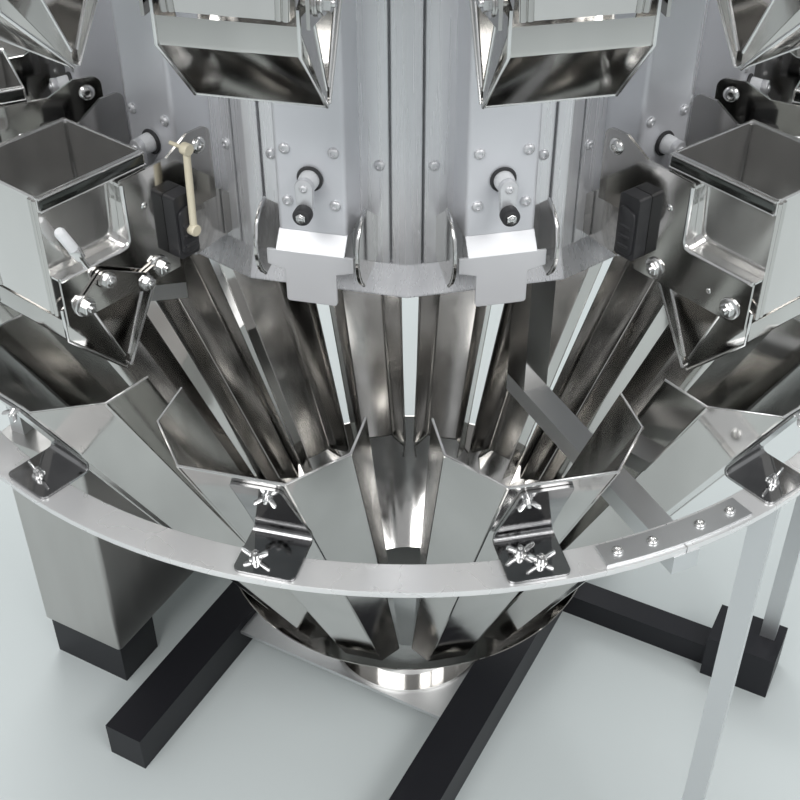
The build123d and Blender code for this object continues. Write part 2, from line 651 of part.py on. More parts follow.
write("door_link_right", copies(link_unit.part, [RIGHT_HOPPER]))
write("door_link_left", copies(link_unit.part, [LEFT_HOPPER]))
write("door_links_other", copies(link_unit.part, OTHER_HOPPERS + FEED_PLACES))

# Brackets on both sides of a hopper: hook plate and L-shaped side plate, seat pad and hook peg
bracket_back = HOPPER_BACK - BRACKET_BEHIND
bracket_foot = PIVOT_HEIGHT - EYE_RADIUS * 1.5
leg_edge = bracket_back + BRACKET_LEG
foot_edge = bracket_foot + BRACKET_FOOT
bend = (leg_edge, foot_edge)
hook_end = (bracket_back - HOOK_REACH, HOOK_TOP)
with BuildPart() as bracket_unit:
    for side in (BRACKET_INNER + HEAVY_SHEET, -BRACKET_INNER):
        with BuildSketch(side_plane(side)) as plate_shape:
            with BuildLine():
                Polyline((bracket_back, bracket_foot), (BRACKET_FRONT, bracket_foot),
                         (BRACKET_FRONT, foot_edge), bend, (leg_edge, HOPPER_TOP - RIM_HEIGHT - SHEET),
                         (bracket_back, HOPPER_TOP - RIM_HEIGHT), (bracket_back - HOOK_REACH / 2, HOOK_TOP),
                         hook_end, (bracket_back - HOOK_REACH, HOOK_BOTTOM),
                         (bracket_back, HOOK_BOTTOM), close=True)
            make_face()
            fillet(plate_shape.vertices().sort_by_distance(bend)[:1], BRACKET_BEND)
            fillet(plate_shape.vertices().sort_by_distance(hook_end)[:1], HOOK_CORNER)
            with Locations((BACK_PIVOT, PIVOT_HEIGHT), (FRONT_PIVOT, PIVOT_HEIGHT)):
                Circle(PIN_RADIUS + SEAT_GAP, mode=Mode.SUBTRACT)
        extrude(amount=HEAVY_SHEET)
    pad_height = HOPPER_TOP - RIM_HEIGHT - PAD_SIZE
    for side in (-1, 1):
        pad_reach = BRACKET_INNER - half_width(pad_height + PAD_SIZE / 2) - SEAT_GAP
        pad_side = side * (BRACKET_INNER - pad_reach / 2)
        with Locations((leg_edge - PAD_SIZE / 2, pad_side, pad_height)):
            Box(PAD_SIZE, pad_reach, PAD_SIZE)
        peg_reach = BRACKET_INNER - (EAR_SPREAD + HEAVY_SHEET) / 2 - SEAT_GAP
        peg_start = BRACKET_INNER if side > 0 else peg_reach - BRACKET_INNER
        with BuildSketch(side_plane(peg_start)):
            with Locations((PEG_RADIUS_PLACE, PEG_HEIGHT)):
                Circle(PEG_RADIUS)
        extrude(amount=peg_reach)
write("hopper_bracket_right", copies(bracket_unit.part, [RIGHT_HOPPER]))
write("hopper_bracket_left", copies(bracket_unit.part, [LEFT_HOPPER]))
write("weigh_brackets_other", copies(bracket_unit.part, OTHER_HOPPERS))
write("feed_brackets", copies(bracket_unit.part, FEED_PLACES))

# Black moulded latch blocks on the outside of the brackets
with BuildPart() as block_unit:
    for side in (-1, 1):
        block_side = side * (BRACKET_INNER + HEAVY_SHEET + SEAT_GAP + BLOCK_WIDTH / 2)
        with Locations((bracket_back - 1, block_side, BLOCK_BOTTOM + BLOCK_HEIGHT / 2)):
            Box(BLOCK_DEPTH, BLOCK_WIDTH, BLOCK_HEIGHT)
    fillet(block_unit.edges().filter_by(Axis.Y), BLOCK_EDGE)
write("latch_blocks_right", copies(block_unit.part, [RIGHT_HOPPER]))
write("latch_blocks_left", copies(block_unit.part, [LEFT_HOPPER]))
write("latch_blocks_other", copies(block_unit.part, OTHER_HOPPERS))

# Feeders: open-ended radial pans on their vibrators, and the dispersion cone on its hub
with BuildPart() as pan_unit:
    with BuildSketch(Plane.XY.offset(PAN_FLOOR)):
        with BuildLine():
            Polyline((PAN_INNER, -PAN_INNER_WIDTH / 2), (PAN_OUTER, -PAN_OUTER_WIDTH / 2),
                     (PAN_OUTER, PAN_OUTER_WIDTH / 2), (PAN_INNER, PAN_INNER_WIDTH / 2),
                     close=True)
        make_face()
    extrude(amount=PAN_WALL)
    with BuildSketch(Plane.XY.offset(PAN_FLOOR + HEAVY_SHEET)):
        with BuildLine():
            Polyline((PAN_INNER + HEAVY_SHEET, HEAVY_SHEET - PAN_INNER_WIDTH / 2),
                     (PAN_OUTER + HEAVY_SHEET, HEAVY_SHEET - PAN_OUTER_WIDTH / 2),
                     (PAN_OUTER + HEAVY_SHEET, PAN_OUTER_WIDTH / 2 - HEAVY_SHEET),
                     (PAN_INNER + HEAVY_SHEET, PAN_INNER_WIDTH / 2 - HEAVY_SHEET), close=True)
        make_face()
    extrude(amount=PAN_WALL, mode=Mode.SUBTRACT)
write("feeder_pans", copies(pan_unit.part, HEAD_PLACES))

with BuildPart() as vibrator_unit:
    with Locations(((VIBRATOR_BACK + VIBRATOR_FRONT) / 2, 0, (BODY_TOP + DECK_THICKNESS + PAN_FLOOR) / 2)):
        Box(VIBRATOR_FRONT - VIBRATOR_BACK, VIBRATOR_WIDTH, PAN_FLOOR - BODY_TOP - DECK_THICKNESS)
write("pan_vibrators", copies(vibrator_unit.part, HEAD_PLACES))

cone_slope = (CONE_TIP - CONE_EDGE) / CONE_RADIUS
with BuildPart() as cone_hub:
    with BuildSketch(Plane.XY.offset(BODY_TOP + DECK_THICKNESS)):
        Circle(HUB_RADIUS)
    extrude(amount=PAN_FLOOR - BODY_TOP)
    hub_top = CONE_TIP - CONE_SHEET - cone_slope * HUB_SHAFT_RADIUS - SEAT_GAP
    with BuildSketch(Plane.XY.offset(BODY_TOP + DECK_THICKNESS)):
        Circle(HUB_SHAFT_RADIUS)
    extrude(amount=hub_top - BODY_TOP - DECK_THICKNESS)
write("cone_hub", cone_hub.part)

with BuildPart() as top_cone:
    with BuildSketch(Plane.XZ):
        with BuildLine():
            Polyline((0, CONE_TIP), (CONE_RADIUS, CONE_EDGE), (CONE_RADIUS, CONE_EDGE - CONE_LIP),
                     (CONE_RADIUS - CONE_SHEET, CONE_EDGE - CONE_LIP),
                     (CONE_RADIUS - CONE_SHEET, CONE_EDGE - CONE_SHEET + cone_slope * CONE_SHEET),
                     (0, CONE_TIP - CONE_SHEET), close=True)
        make_face()
    revolve(axis=Axis.Z)
write("top_cone", top_cone.part)
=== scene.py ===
import json
import logging
import math
from collections.abc import Sequence
from dataclasses import dataclass, field
from enum import Enum

import bmesh
import bpy
import numpy as np
from mathutils import Matrix, Vector


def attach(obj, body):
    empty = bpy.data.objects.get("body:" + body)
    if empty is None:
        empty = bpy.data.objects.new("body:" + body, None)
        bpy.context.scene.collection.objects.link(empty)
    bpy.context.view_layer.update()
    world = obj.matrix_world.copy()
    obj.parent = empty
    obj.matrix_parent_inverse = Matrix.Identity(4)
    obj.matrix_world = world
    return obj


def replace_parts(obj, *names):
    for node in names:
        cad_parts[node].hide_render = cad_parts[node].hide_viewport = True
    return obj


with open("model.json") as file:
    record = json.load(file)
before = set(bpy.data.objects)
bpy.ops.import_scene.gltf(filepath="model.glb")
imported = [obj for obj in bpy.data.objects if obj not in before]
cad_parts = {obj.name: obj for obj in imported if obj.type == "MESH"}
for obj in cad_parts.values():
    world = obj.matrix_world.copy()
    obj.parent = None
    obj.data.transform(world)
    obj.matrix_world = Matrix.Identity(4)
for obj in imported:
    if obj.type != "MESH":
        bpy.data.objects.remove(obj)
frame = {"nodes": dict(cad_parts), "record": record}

LOG = logging.getLogger("weigher")
MM = 0.001
HEADS = 14
PITCH = 360 / HEADS
RING_TOP = 720.0
FEED_LIFT = 272.0
LIFTS = (0.0, FEED_LIFT)
HOPPER_PLACES = [(head, 0.0) for head in range(1, HEADS - 1)] + [(head, FEED_LIFT) for head in range(HEADS)]
OUTWARDS = (1, 0, 0)
SIDEWAYS = (0, 1, 0)
UPWARDS = (0, 0, 1)
QUARTER_TURN = np.array([[0, 1, 0], [-1, 0, 0], [0, 0, 1]])
BEAD_STEPS = 8
ARC_SHARE = 0.48
TINY = 1e-9
SHARP_ANGLE = 40.0
NOISE_RANGE = (0.3, 0.7)
SMEAR_SCALE = 5.0
FINE_DETAIL = 2
BEVEL_SAMPLES = 2
SIDES = (-1, 1)
Pair = tuple[float, float]
Triple = tuple[float, float, float]
Profile = tuple[Pair, ...]
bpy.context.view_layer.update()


class Side(Enum):
    """The two weigh hoppers whose doors move, by head number."""

    RIGHT = 1
    LEFT = HEADS - 2


@dataclass
class Surface:
    """Points in millimetres with their quads and flat end caps."""

    points: np.ndarray
    quads: np.ndarray
    caps: list[np.ndarray] = field(default_factory=list)

    def moved(self, axes: np.ndarray, origin: Sequence[float]) -> "Surface":
        """Place the surface on three axes at an origin.

        Args:
            axes: the rows are the directions that local x, y and z take.
            origin: where the local origin goes.
        Returns:
            The same surface in its new place.
        """
        points = self.points @ np.asarray(axes, float) + np.asarray(origin, float)
        return Surface(points, self.quads, self.caps)

    def at(self, x: float, y: float, z: float) -> "Surface":
        """Slide the surface without turning it."""
        return Surface(self.points + np.array([x, y, z]), self.quads, self.caps)


def joined(surfaces: Sequence[Surface]) -> Surface:
    """Put several surfaces into one.

    Args:
        surfaces: the surfaces to join.
    Returns:
        One surface that holds them all.
    """
    starts = np.cumsum([0] + [len(s.points) for s in surfaces[:-1]])
    return Surface(
        np.concatenate([s.points for s in surfaces]),
        np.concatenate([s.quads + start for s, start in zip(surfaces, starts)]),
        [cap + start for s, start in zip(surfaces, starts) for cap in s.caps],
    )


def grid(points: np.ndarray, wrap_u: bool = False, wrap_v: bool = False) -> Surface:
    """Quads over a grid of points, a function of two parameters worked out beforehand.

    Args:
        points: array of (m, n, 3) places.
        wrap_u: whether the last row joins the first.
        wrap_v: whether the last column joins the first.
    Returns:
        The surface through the points.
    """
    m, n = points.shape[:2]
    number = np.arange(m * n).reshape(m, n)
    rows = np.arange(m if wrap_u else m - 1)
    columns = np.arange(n if wrap_v else n - 1)
    i, j = np.meshgrid(rows, columns, indexing="ij")
    quads = np.stack([number[i, j], number[(i + 1) % m, j], number[(i + 1) % m, (j + 1) % n],
                      number[i, (j + 1) % n]], axis=-1).reshape(-1, 4)
    return Surface(points.reshape(-1, 3).astype(float), quads)


def lathe(profile: Sequence[Pair], steps: int) -> Surface:
    """Turn a profile about z: a point (r, h) runs round as (r cos a, r sin a, h).

    Args:
        profile: radius and height of each ring, from the foot up.
        steps: how many points each ring has.
    Returns:
        A closed turned surface.
    """
    ring = np.asarray(profile, float)
    angle = np.linspace(0, 2 * np.pi, steps, endpoint=False)
    points = np.stack([ring[:, :1] * np.cos(angle), ring[:, :1] * np.sin(angle),
                       np.repeat(ring[:, 1:], steps, axis=1)], axis=-1)
    made = grid(points, wrap_v=True)
    made.caps = [np.arange(steps)[::-1], np.arange(steps) + steps * (len(ring) - 1)]
    return made


def directions(vectors: np.ndarray) -> np.ndarray:
    """Scale every row to length one."""
    return vectors / np.linalg.norm(vectors, axis=1)[:, None]


def sweep(section: np.ndarray, path: np.ndarray, up: Sequence[float] = UPWARDS,
          closed: bool = False) -> Surface:
    """Carry a flat closed section along a path, its y kept as near to one direction as it can be.

    Args:
        section: (s, 2) points of the section, sideways and up.
        path: (p, 3) points of the path.
        up: the direction that the section's y leans to.
        closed: whether the path ends where it starts.
    Returns:
        The swept surface, capped where the path has ends.
    """
    path = np.asarray(path, float)
    ahead = np.roll(path, -1, axis=0) - path
    behind = path - np.roll(path, 1, axis=0)
    if not closed:
        ahead[-1] = behind[-1]
        behind[0] = ahead[0]
    tangent = directions(directions(ahead) + directions(behind))
    across = directions(np.cross(tangent, np.asarray(up, float)))
    over = np.cross(across, tangent)
    points = path[:, None] + section[None, :, :1] * across[:, None] + section[None, :, 1:] * over[:, None]
    made = grid(points, wrap_u=closed, wrap_v=True)
    if not closed:
        s = len(section)
        made.caps = [np.arange(s)[::-1], np.arange(s) + s * (len(path) - 1)]
    return made


def circle(radius: float, steps: int) -> np.ndarray:
    """Points of a round section: (r cos a, r sin a)."""
    angle = np.linspace(0, 2 * np.pi, steps, endpoint=False)
    return radius * np.stack([np.cos(angle), np.sin(angle)], axis=-1)


def bead(radius: float, path: np.ndarray, up: Sequence[float] = UPWARDS, closed: bool = False) -> Surface:
    """Carry a small round section along a path."""
    return sweep(circle(radius, BEAD_STEPS), path, up, closed)


def rounded(corners: Sequence[Pair], radii: Sequence[float] | float,
            steps: int = 6) -> np.ndarray:
    """Round a flat outline's corners with arcs that touch both sides.

    Args:
        corners: the outline's corners in order.
        radii: one radius, or one for each corner; 0 keeps a corner sharp.
        steps: points on each arc.
    Returns:
        (k, 2) points of the rounded outline.
    """
    corners = np.asarray(corners, float)
    radii = np.broadcast_to(np.asarray(radii, float), (len(corners),))
    out: list[np.ndarray] = []
    for i, (corner, radius) in enumerate(zip(corners, radii)):
        if radius <= 0:
            out.append(corner[None])
            continue
        back = corners[i - 1] - corner
        on = corners[(i + 1) % len(corners)] - corner
        back_length, on_length = np.linalg.norm(back), np.linalg.norm(on)
        back, on = back / back_length, on / on_length
        half = 0.5 * math.acos(float(np.clip(back @ on, -1, 1)))
        reach = min(radius / math.tan(half), ARC_SHARE * back_length, ARC_SHARE * on_length)
        radius = reach * math.tan(half)
        middle = corner + (back + on) / np.linalg.norm(back + on) * radius / math.sin(half)
        start, end = corner + back * reach - middle, corner + on * reach - middle
        a = math.atan2(start[1], start[0])
        turn = (math.atan2(end[1], end[0]) - a + math.pi) % (2 * math.pi) - math.pi
        angle = a + np.linspace(0, 1, steps) * turn
        out.append(middle + radius * np.stack([np.cos(angle), np.sin(angle)], axis=-1))
    return np.concatenate(out)


def inset(outline: np.ndarray, depth: float) -> np.ndarray:
    """Move a flat outline inwards along its mean corner normals.

    Args:
        outline: (k, 2) points, either way round.
        depth: how far inwards.
    Returns:
        The moved points.
    """
    on = np.roll(outline, -1, axis=0) - outline
    back = outline - np.roll(outline, 1, axis=0)
    on /= np.linalg.norm(on, axis=1)[:, None] + TINY
    back /= np.linalg.norm(back, axis=1)[:, None] + TINY
    way = on + back
    way /= np.linalg.norm(way, axis=1)[:, None] + TINY
    area = np.sum(outline[:, 0] * np.roll(outline[:, 1], -1) - outline[:, 1] * np.roll(outline[:, 0], -1))
    normal = np.stack([-way[:, 1], way[:, 0]], axis=-1) * (1 if area > 0 else -1)
    return outline + normal * depth


def plate(outline: np.ndarray, thickness: float, edge: float) -> Surface:
    """A flat plate with rounded edges, standing on z = 0.

    Args:
        outline: (k, 2) points of the plate's outline.
        thickness: the plate's thickness.
        edge: radius of its edges.
    Returns:
        The closed plate.
    """
    turn = np.linspace(0, np.pi / 2, 3)
    rings = [(edge * (1 - math.sin(a)), edge * (1 - math.cos(a))) for a in turn]
    rings += [(depth, thickness - height) for depth, height in reversed(rings)]
    layers = [np.column_stack([inset(outline, depth), np.full(len(outline), height)])
              for depth, height in rings]
    made = grid(np.stack(layers), wrap_v=True)
    k = len(outline)
    made.caps = [np.arange(k)[::-1], np.arange(k) + k * (len(rings) - 1)]
    return made


def strip(profile: np.ndarray, thickness: float, half_width: float, corner: float) -> Surface:
    """A bent sheet strip: a profile in the x-z plane carried across y, its ends rounded in outline.

    Args:
        profile: (p, 2) points of x and z along the sheet's inner face.
        thickness: the sheet's thickness, laid on the profile's left-hand side.
        half_width: half the strip's width along y.
        corner: radius of the outline's corners at both ends.
    Returns:
        The closed strip; its width shrinks as a circle does towards each end.
    """
    step = np.linalg.norm(np.diff(profile, axis=0), axis=1)
    run = np.concatenate([[0], np.cumsum(step)])
    near_end = np.minimum(np.minimum(run, run[-1] - run), corner)
    half = half_width - corner + np.sqrt(np.maximum(corner ** 2 - (corner - near_end) ** 2, 0))
    along = directions(np.gradient(profile, axis=0))
    over = profile + thickness * np.stack([-along[:, 1], along[:, 0]], axis=-1)
    rows = []
    for face, side in ((profile, -1), (profile, 1), (over, 1), (over, -1)):
        rows.append(np.stack([face[:, 0], side * half, face[:, 1]], axis=-1))
    made = grid(np.stack(rows, axis=1), wrap_v=True)
    made.caps = [np.array([3, 2, 1, 0]), np.arange(4) + 4 * (len(profile) - 1)]
    return made


def dense(corners: Sequence[Pair], radii: Sequence[float] | float,
          spacing: float) -> np.ndarray:
    """An open path with rounded bends, its straight runs cut into short steps.

    Args:
        corners: the path's corners in order.
        radii: bend radius at each corner; those of the two ends are 0.
        spacing: longest step.
    Returns:
        (p, 2) points along the path.
    """
    path = rounded(corners, radii)
    parts = [path[:1]]
    for start, end in zip(path[:-1], path[1:]):
        count = max(1, math.ceil(float(np.linalg.norm(end - start)) / spacing))
        parts.append(start + (end - start) * np.linspace(0, 1, count + 1)[1:, None])
    return np.concatenate(parts)


def ribbon(near: np.ndarray, far: np.ndarray, normal: np.ndarray) -> Surface:
    """A flat-sided band between two lines in space, as thick as its normals are long.

    Args:
        near: (p, 3) points of one edge.
        far: (p, 3) points of the other edge.
        normal: (p, 3) steps from one face to the other.
    Returns:
        The closed band.
    """
    made = grid(np.stack([near, far, far + normal, near + normal], axis=1), wrap_v=True)
    made.caps = [np.array([3, 2, 1, 0]), np.arange(4) + 4 * (len(near) - 1)]
    return made


def axes_for(normal: Sequence[float], side: Sequence[float] = SIDEWAYS) -> np.ndarray:
    """Axes whose z is a given direction and whose y is near another.

    Args:
        normal: where local z points.
        side: where local y leans.
    Returns:
        Three rows for Surface.moved.
    """
    z = np.asarray(normal, float) / np.linalg.norm(normal)
    x = np.cross(np.asarray(side, float), z)
    x /= np.linalg.norm(x)
    return np.stack([x, np.cross(z, x), z])


def standing(side: int = 1) -> np.ndarray:
    """Axes that stand a flat outline upright, its x outwards and its thickness to one side."""
    return np.array([[1, 0, 0], [0, 0, 1], [0, side, 0]])


def on_head(surface: Surface, head: float, lift: float = 0.0) -> Surface:
    """Carry a surface from head space, x outwards and y sideways, to its place round the axis.

    Args:
        surface: the surface in head space.
        head: head number, 0 for the first one right of the front.
        lift: extra height.
    Returns:
        The surface in the machine's own space.
    """
    a = math.radians(-90 + PITCH / 2 + head * PITCH)
    turn = np.array([[math.cos(a), math.sin(a), 0], [-math.sin(a), math.cos(a), 0], [0, 0, 1]])
    return surface.moved(turn, (0, 0, lift))


def placed(surface: Surface, places: Sequence[Pair]) -> Surface:
    """Repeat a surface at pairs of head number and lift as one surface."""
    return joined([on_head(surface, head, lift) for head, lift in places])


def on_heads(surface: Surface, heads: Sequence[float], lifts: Sequence[float] = (0.0,)) -> Surface:
    """Repeat a surface on several heads and storeys as one surface."""
    return placed(surface, [(head, lift) for lift in lifts for head in heads])


def noise(tree: bpy.types.NodeTree, source: bpy.types.NodeSocket, scale: float,
          detail: float = 3.0) -> bpy.types.Node:
    """Add a noise texture that reads a given place.

    Args:
        tree: the material's node tree.
        source: socket that gives the place.
        scale: the noise's scale.
        detail: its detail.
    Returns:
        The noise node.
    """
    node = tree.nodes.new("ShaderNodeTexNoise")
    node.inputs["Scale"].default_value = scale
    node.inputs["Detail"].default_value = detail
    tree.links.new(source, node.inputs["Vector"])
    return node


def ranged(tree: bpy.types.NodeTree, source: bpy.types.NodeSocket, low: float,
           high: float) -> bpy.types.NodeSocket:
    """Map the middle of a noise's values to a range.

    Args:
        tree: the material's node tree.
        source: socket with the value.
        low: result at the low end.
        high: result at the high end.
    Returns:
        The result's socket.
    """
    node = tree.nodes.new("ShaderNodeMapRange")
    start, end = NOISE_RANGE
    for name, value in (("From Min", start), ("From Max", end), ("To Min", low), ("To Max", high)):
        node.inputs[name].default_value = value
    tree.links.new(source, node.inputs["Value"])
    return node.outputs["Result"]


@dataclass(frozen=True)
class Finish:
    """One surface finish: its colour, a second tone mixed in by noise, gloss, grain and softened edges; on
    the body finish the mixed tones are streaks of painted highlight and painted shade.
    """

    name: str
    colour: Triple
    shade: Triple
    metallic: float = 1.0
    roughness: Pair = (0.1, 0.2)
    mottle_and_sheen: Triple = (6.0, 6.0, 6.0)
    grain: Triple = (900.0, 900.0, 30.0)
    bump: float = 0.02
    edge: float = 0.0006

    def material(self) -> bpy.types.Material:
        """Make the node material once and give it back after that.

        Returns:
            The material: two colours mixed by a soft noise stretched along the given axes (on the body finish
                into narrow vertical streaks of painted highlight and painted shade), gloss that
            a second noise varies, and a fine stretched grain as bump over softened edges.
        """
        found = bpy.data.materials.get(self.name)
        if found is not None:
            return found
        material = bpy.data.materials.new(self.name)
        material.use_nodes = True
        tree = material.node_tree
        shader = tree.nodes["Principled BSDF"]
        shader.inputs["Metallic"].default_value = self.metallic
        place = tree.nodes.new("ShaderNodeTexCoord").outputs["Object"]
        streak = tree.nodes.new("ShaderNodeMapping")
        streak.inputs["Scale"].default_value = self.mottle_and_sheen
        tree.links.new(place, streak.inputs["Vector"])
        cloud = noise(tree, streak.outputs["Vector"], 1.0)
        # Colour and shade mixed by the stretched noise: random tone on most finishes, streaks of painted
        # highlight and painted shade on the body finish.
        colours = tree.nodes.new("ShaderNodeMix")
        colours.data_type = "RGBA"
        colours.inputs["A"].default_value = (*self.colour, 1)
        colours.inputs["B"].default_value = (*self.shade, 1)
        tree.links.new(ranged(tree, cloud.outputs["Fac"], 0, 1), colours.inputs["Factor"])
        tree.links.new(colours.outputs["Result"], shader.inputs["Base Color"])
        smear = noise(tree, streak.outputs["Vector"], SMEAR_SCALE, FINE_DETAIL)
        tree.links.new(ranged(tree, smear.outputs["Fac"], *self.roughness), shader.inputs["Roughness"])
        stretch = tree.nodes.new("ShaderNodeMapping")
        stretch.inputs["Scale"].default_value = self.grain
        tree.links.new(place, stretch.inputs["Vector"])
        fine = noise(tree, stretch.outputs["Vector"], 1.0, FINE_DETAIL)
        bump = tree.nodes.new("ShaderNodeBump")
        bump.inputs["Strength"].default_value = self.bump
        bump.inputs["Distance"].default_value = MM
        tree.links.new(fine.outputs["Fac"], bump.inputs["Height"])
        if self.edge > 0:
            bevel = tree.nodes.new("ShaderNodeBevel")
            bevel.samples = BEVEL_SAMPLES
            bevel.inputs["Radius"].default_value = self.edge
            tree.links.new(bevel.outputs["Normal"], bump.inputs["Normal"])
        tree.links.new(bump.outputs["Normal"], shader.inputs["Normal"])
        return material


MIRROR = Finish("mirror_sheet", (0.66, 0.65, 0.63), (0.50, 0.49, 0.475), roughness=(0.07, 0.13),
                mottle_and_sheen=(9, 9, 2.2), grain=(300, 300, 18), bump=0.003, edge=0.0)
SHEET = Finish("hopper_sheet", (0.80, 0.795, 0.78), (0.68, 0.67, 0.655), metallic=0.9, roughness=(0.08, 0.16),
               mottle_and_sheen=(9, 9, 3), grain=(300, 300, 18), bump=0.003, edge=0.0)
# Bracket steel painted far darker than the chutes' polished sheet: painted shade that dims the brackets and
# their highlights.
PAINTED_SHADE_MIRROR = Finish("bracket_sheet_painted_shade", (0.26, 0.26, 0.265), (0.40, 0.40, 0.40), roughness=(0.05, 0.1),
                    mottle_and_sheen=(14, 14, 30), grain=(300, 300, 18), bump=0.006, edge=0.0015)
SATIN = Finish("satin_steel", (0.80, 0.80, 0.80), (0.73, 0.73, 0.74), roughness=(0.26, 0.36),
               grain=(500, 500, 40), bump=0.012)
RING_STEEL = Finish("machined_ring", (0.90, 0.90, 0.89), (0.72, 0.72, 0.72), metallic=0.5,
                    roughness=(0.24, 0.32), mottle_and_sheen=(5, 5, 5), grain=(200, 200, 200), bump=0.002, edge=0.0012)
BLASTED = Finish("blasted_panel", (0.78, 0.79, 0.82), (0.72, 0.73, 0.76), metallic=0.4,
                 roughness=(0.38, 0.48), grain=(700, 700, 700), bump=0.01, edge=0.0015)
# Body steel whose two tones are mixed in narrow vertical streaks: painted highlights and painted shade
# standing in for the reflections on the columns and covers.
BODY_WITH_PAINTED_SHEEN = Finish("body_steel_painted_sheen", (0.90, 0.905, 0.92), (0.66, 0.665, 0.685), metallic=0.5, roughness=(0.22, 0.34),
              mottle_and_sheen=(34, 34, 0.7), grain=(400, 400, 30), bump=0.006, edge=0.002)
PLATE = Finish("hanging_plate", (0.74, 0.745, 0.76), (0.70, 0.705, 0.72), metallic=0.35,
               roughness=(0.42, 0.5), grain=(700, 700, 200), bump=0.01, edge=0.001)
BOX_STEEL = Finish("box_steel", (0.55, 0.54, 0.525), (0.47, 0.46, 0.445), roughness=(0.3, 0.4),
                   mottle_and_sheen=(8, 8, 1.5), grain=(600, 600, 80), bump=0.01, edge=0.003)
CONE_STEEL = Finish("cone_steel", (0.56, 0.56, 0.56), (0.48, 0.48, 0.485), roughness=(0.26, 0.36),
                    mottle_and_sheen=(12, 12, 12), grain=(500, 500, 500), bump=0.012, edge=0.001)
CAST = Finish("cast_housing", (0.62, 0.63, 0.64), (0.55, 0.56, 0.58), metallic=0.7, roughness=(0.42, 0.55),
              grain=(700, 700, 700), bump=0.04, edge=0.002)
BRIGHT = Finish("bright_edges", (0.78, 0.78, 0.77), (0.70, 0.70, 0.70), roughness=(0.16, 0.24),
                grain=(300, 300, 300), bump=0.004, edge=0.0003)
SOFT = Finish("soft_screws", (0.78, 0.785, 0.80), (0.70, 0.705, 0.72), metallic=0.6, roughness=(0.3, 0.4),
              grain=(500, 500, 500), bump=0.01, edge=0.0005)
DARK_STEEL = Finish("dark_rim", (0.12, 0.125, 0.12), (0.055, 0.06, 0.055), metallic=0.9,
                    roughness=(0.1, 0.18), mottle_and_sheen=(20, 20, 20), grain=(300, 300, 30), bump=0.01)
RUBBER = Finish("black_rubber", (0.025, 0.025, 0.027), (0.04, 0.04, 0.042), metallic=0.0,
                roughness=(0.45, 0.6), grain=(900, 900, 900), bump=0.04)
PALE = Finish("pale_bush", (0.80, 0.81, 0.82), (0.74, 0.75, 0.76), metallic=0.0, roughness=(0.3, 0.4),
              grain=(900, 900, 900), bump=0.02)
CREAM = Finish("cream_rod", (0.76, 0.70, 0.54), (0.68, 0.61, 0.45), metallic=0.0, roughness=(0.3, 0.45),
               grain=(900, 900, 300), bump=0.02)
MOULDED = Finish("black_moulding", (0.025, 0.025, 0.028), (0.04, 0.04, 0.042), metallic=0.0,
                 roughness=(0.28, 0.4), grain=(800, 800, 800), bump=0.03, edge=0.0015)
BLACK_PAINT = Finish("black_paint", (0.080, 0.086, 0.088), (0.10, 0.107, 0.11), metallic=0.0,
                     roughness=(0.3, 0.45), mottle_and_sheen=(3, 3, 3), grain=(500, 500, 500), bump=0.04, edge=0.002)


def add_piece(name: str, surface: Surface, finish: Finish, body: str = "frame") -> bpy.types.Object:
    """Put a surface into the scene as a piece that rides on a body.

    Args:
        name: the piece's name.
        surface: its points in millimetres in the machine's own space.
        finish: its finish.
        body: the body that carries it.
    Returns:
        The new object.
    """
    mesh = bpy.data.meshes.new(name)
    faces = surface.quads.tolist() + [cap.tolist() for cap in surface.caps]
    mesh.from_pydata((surface.points * MM).tolist(), [], faces)
    work = bmesh.new()
    work.from_mesh(mesh)
    bmesh.ops.recalc_face_normals(work, faces=work.faces)
    work.to_mesh(mesh)
    work.free()
    mesh.polygons.foreach_set("use_smooth", np.ones(len(mesh.polygons), bool))
    mesh.set_sharp_from_angle(angle=math.radians(SHARP_ANGLE))
    mesh.materials.append(finish.material())
    made = bpy.data.objects.new(name, mesh)
    bpy.context.scene.collection.objects.link(made)
    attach(made, body)
    LOG.info("%s: %d faces on %s", name, len(mesh.polygons), body)
    return made


@dataclass
class Fasteners:
    """Shapes of the screws, nuts and washers, each standing on z = 0."""

    nut_radius: float = 6.2
    washer_radius: float = 8.0
    hub_profile: Profile = ((7.5, 0), (7.5, 1.4), (5.2, 1.5), (5.0, 8), (3.2, 8.6), (2.6, 8.8),
                            (2.6, 11.4), (1.0, 12.2))
    leaf_corners: Profile = ((3.0, 2.0), (9.0, 3.5), (15.5, 10.0), (14.5, 16.5), (8.5, 12.5), (3.4, 7.5))
    leaf_thickness: float = 2.6

    def button(self, r: float) -> Surface:
        """A domed button head of a given radius, with a hollow for the key."""
        a = np.linspace(0, np.pi / 2, 6)[:-1]
        dome = [(0.35 * r + 0.65 * r * math.cos(t), 0.12 * r + 0.5 * r * math.sin(t)) for t in a]
        return lathe([(r, 0), (r, 0.12 * r), *dome[1:], (0.42 * r, 0.62 * r), (0.38 * r, 0.3 * r)], 16)

    def hexagon(self) -> Surface:
        """A hexagon nut with its bolt end: washer below, six flats, chamfer and a domed stud."""
        r = self.nut_radius
        washer = lathe([(self.washer_radius, 0), (self.washer_radius, 1.1), (4, 1.1)], 20)
        nut = lathe([(r, 1.1), (r, 5.2), (0.86 * r, 6.0), (3.2, 6.0)], 6)
        stud = lathe([(2.9, 5.8), (2.9, 7.6), (2.2, 8.3), (0.8, 8.4)], 12)
        return joined([washer, nut, stud])

    def wing(self) -> Surface:
        """A wing screw: a turned hub and stud with two leaf wings standing up beside it."""
        hub = lathe(self.hub_profile, 16)
        wing = plate(rounded(self.leaf_corners, 2.4, 5), self.leaf_thickness, 0.9)
        half = self.leaf_thickness / 2
        right = wing.moved(standing(-1), (0, half, 0))
        left = wing.moved(standing(-1) * np.array([-1, -1, 1]), (0, -half, 0))
        return joined([hub, right, left])


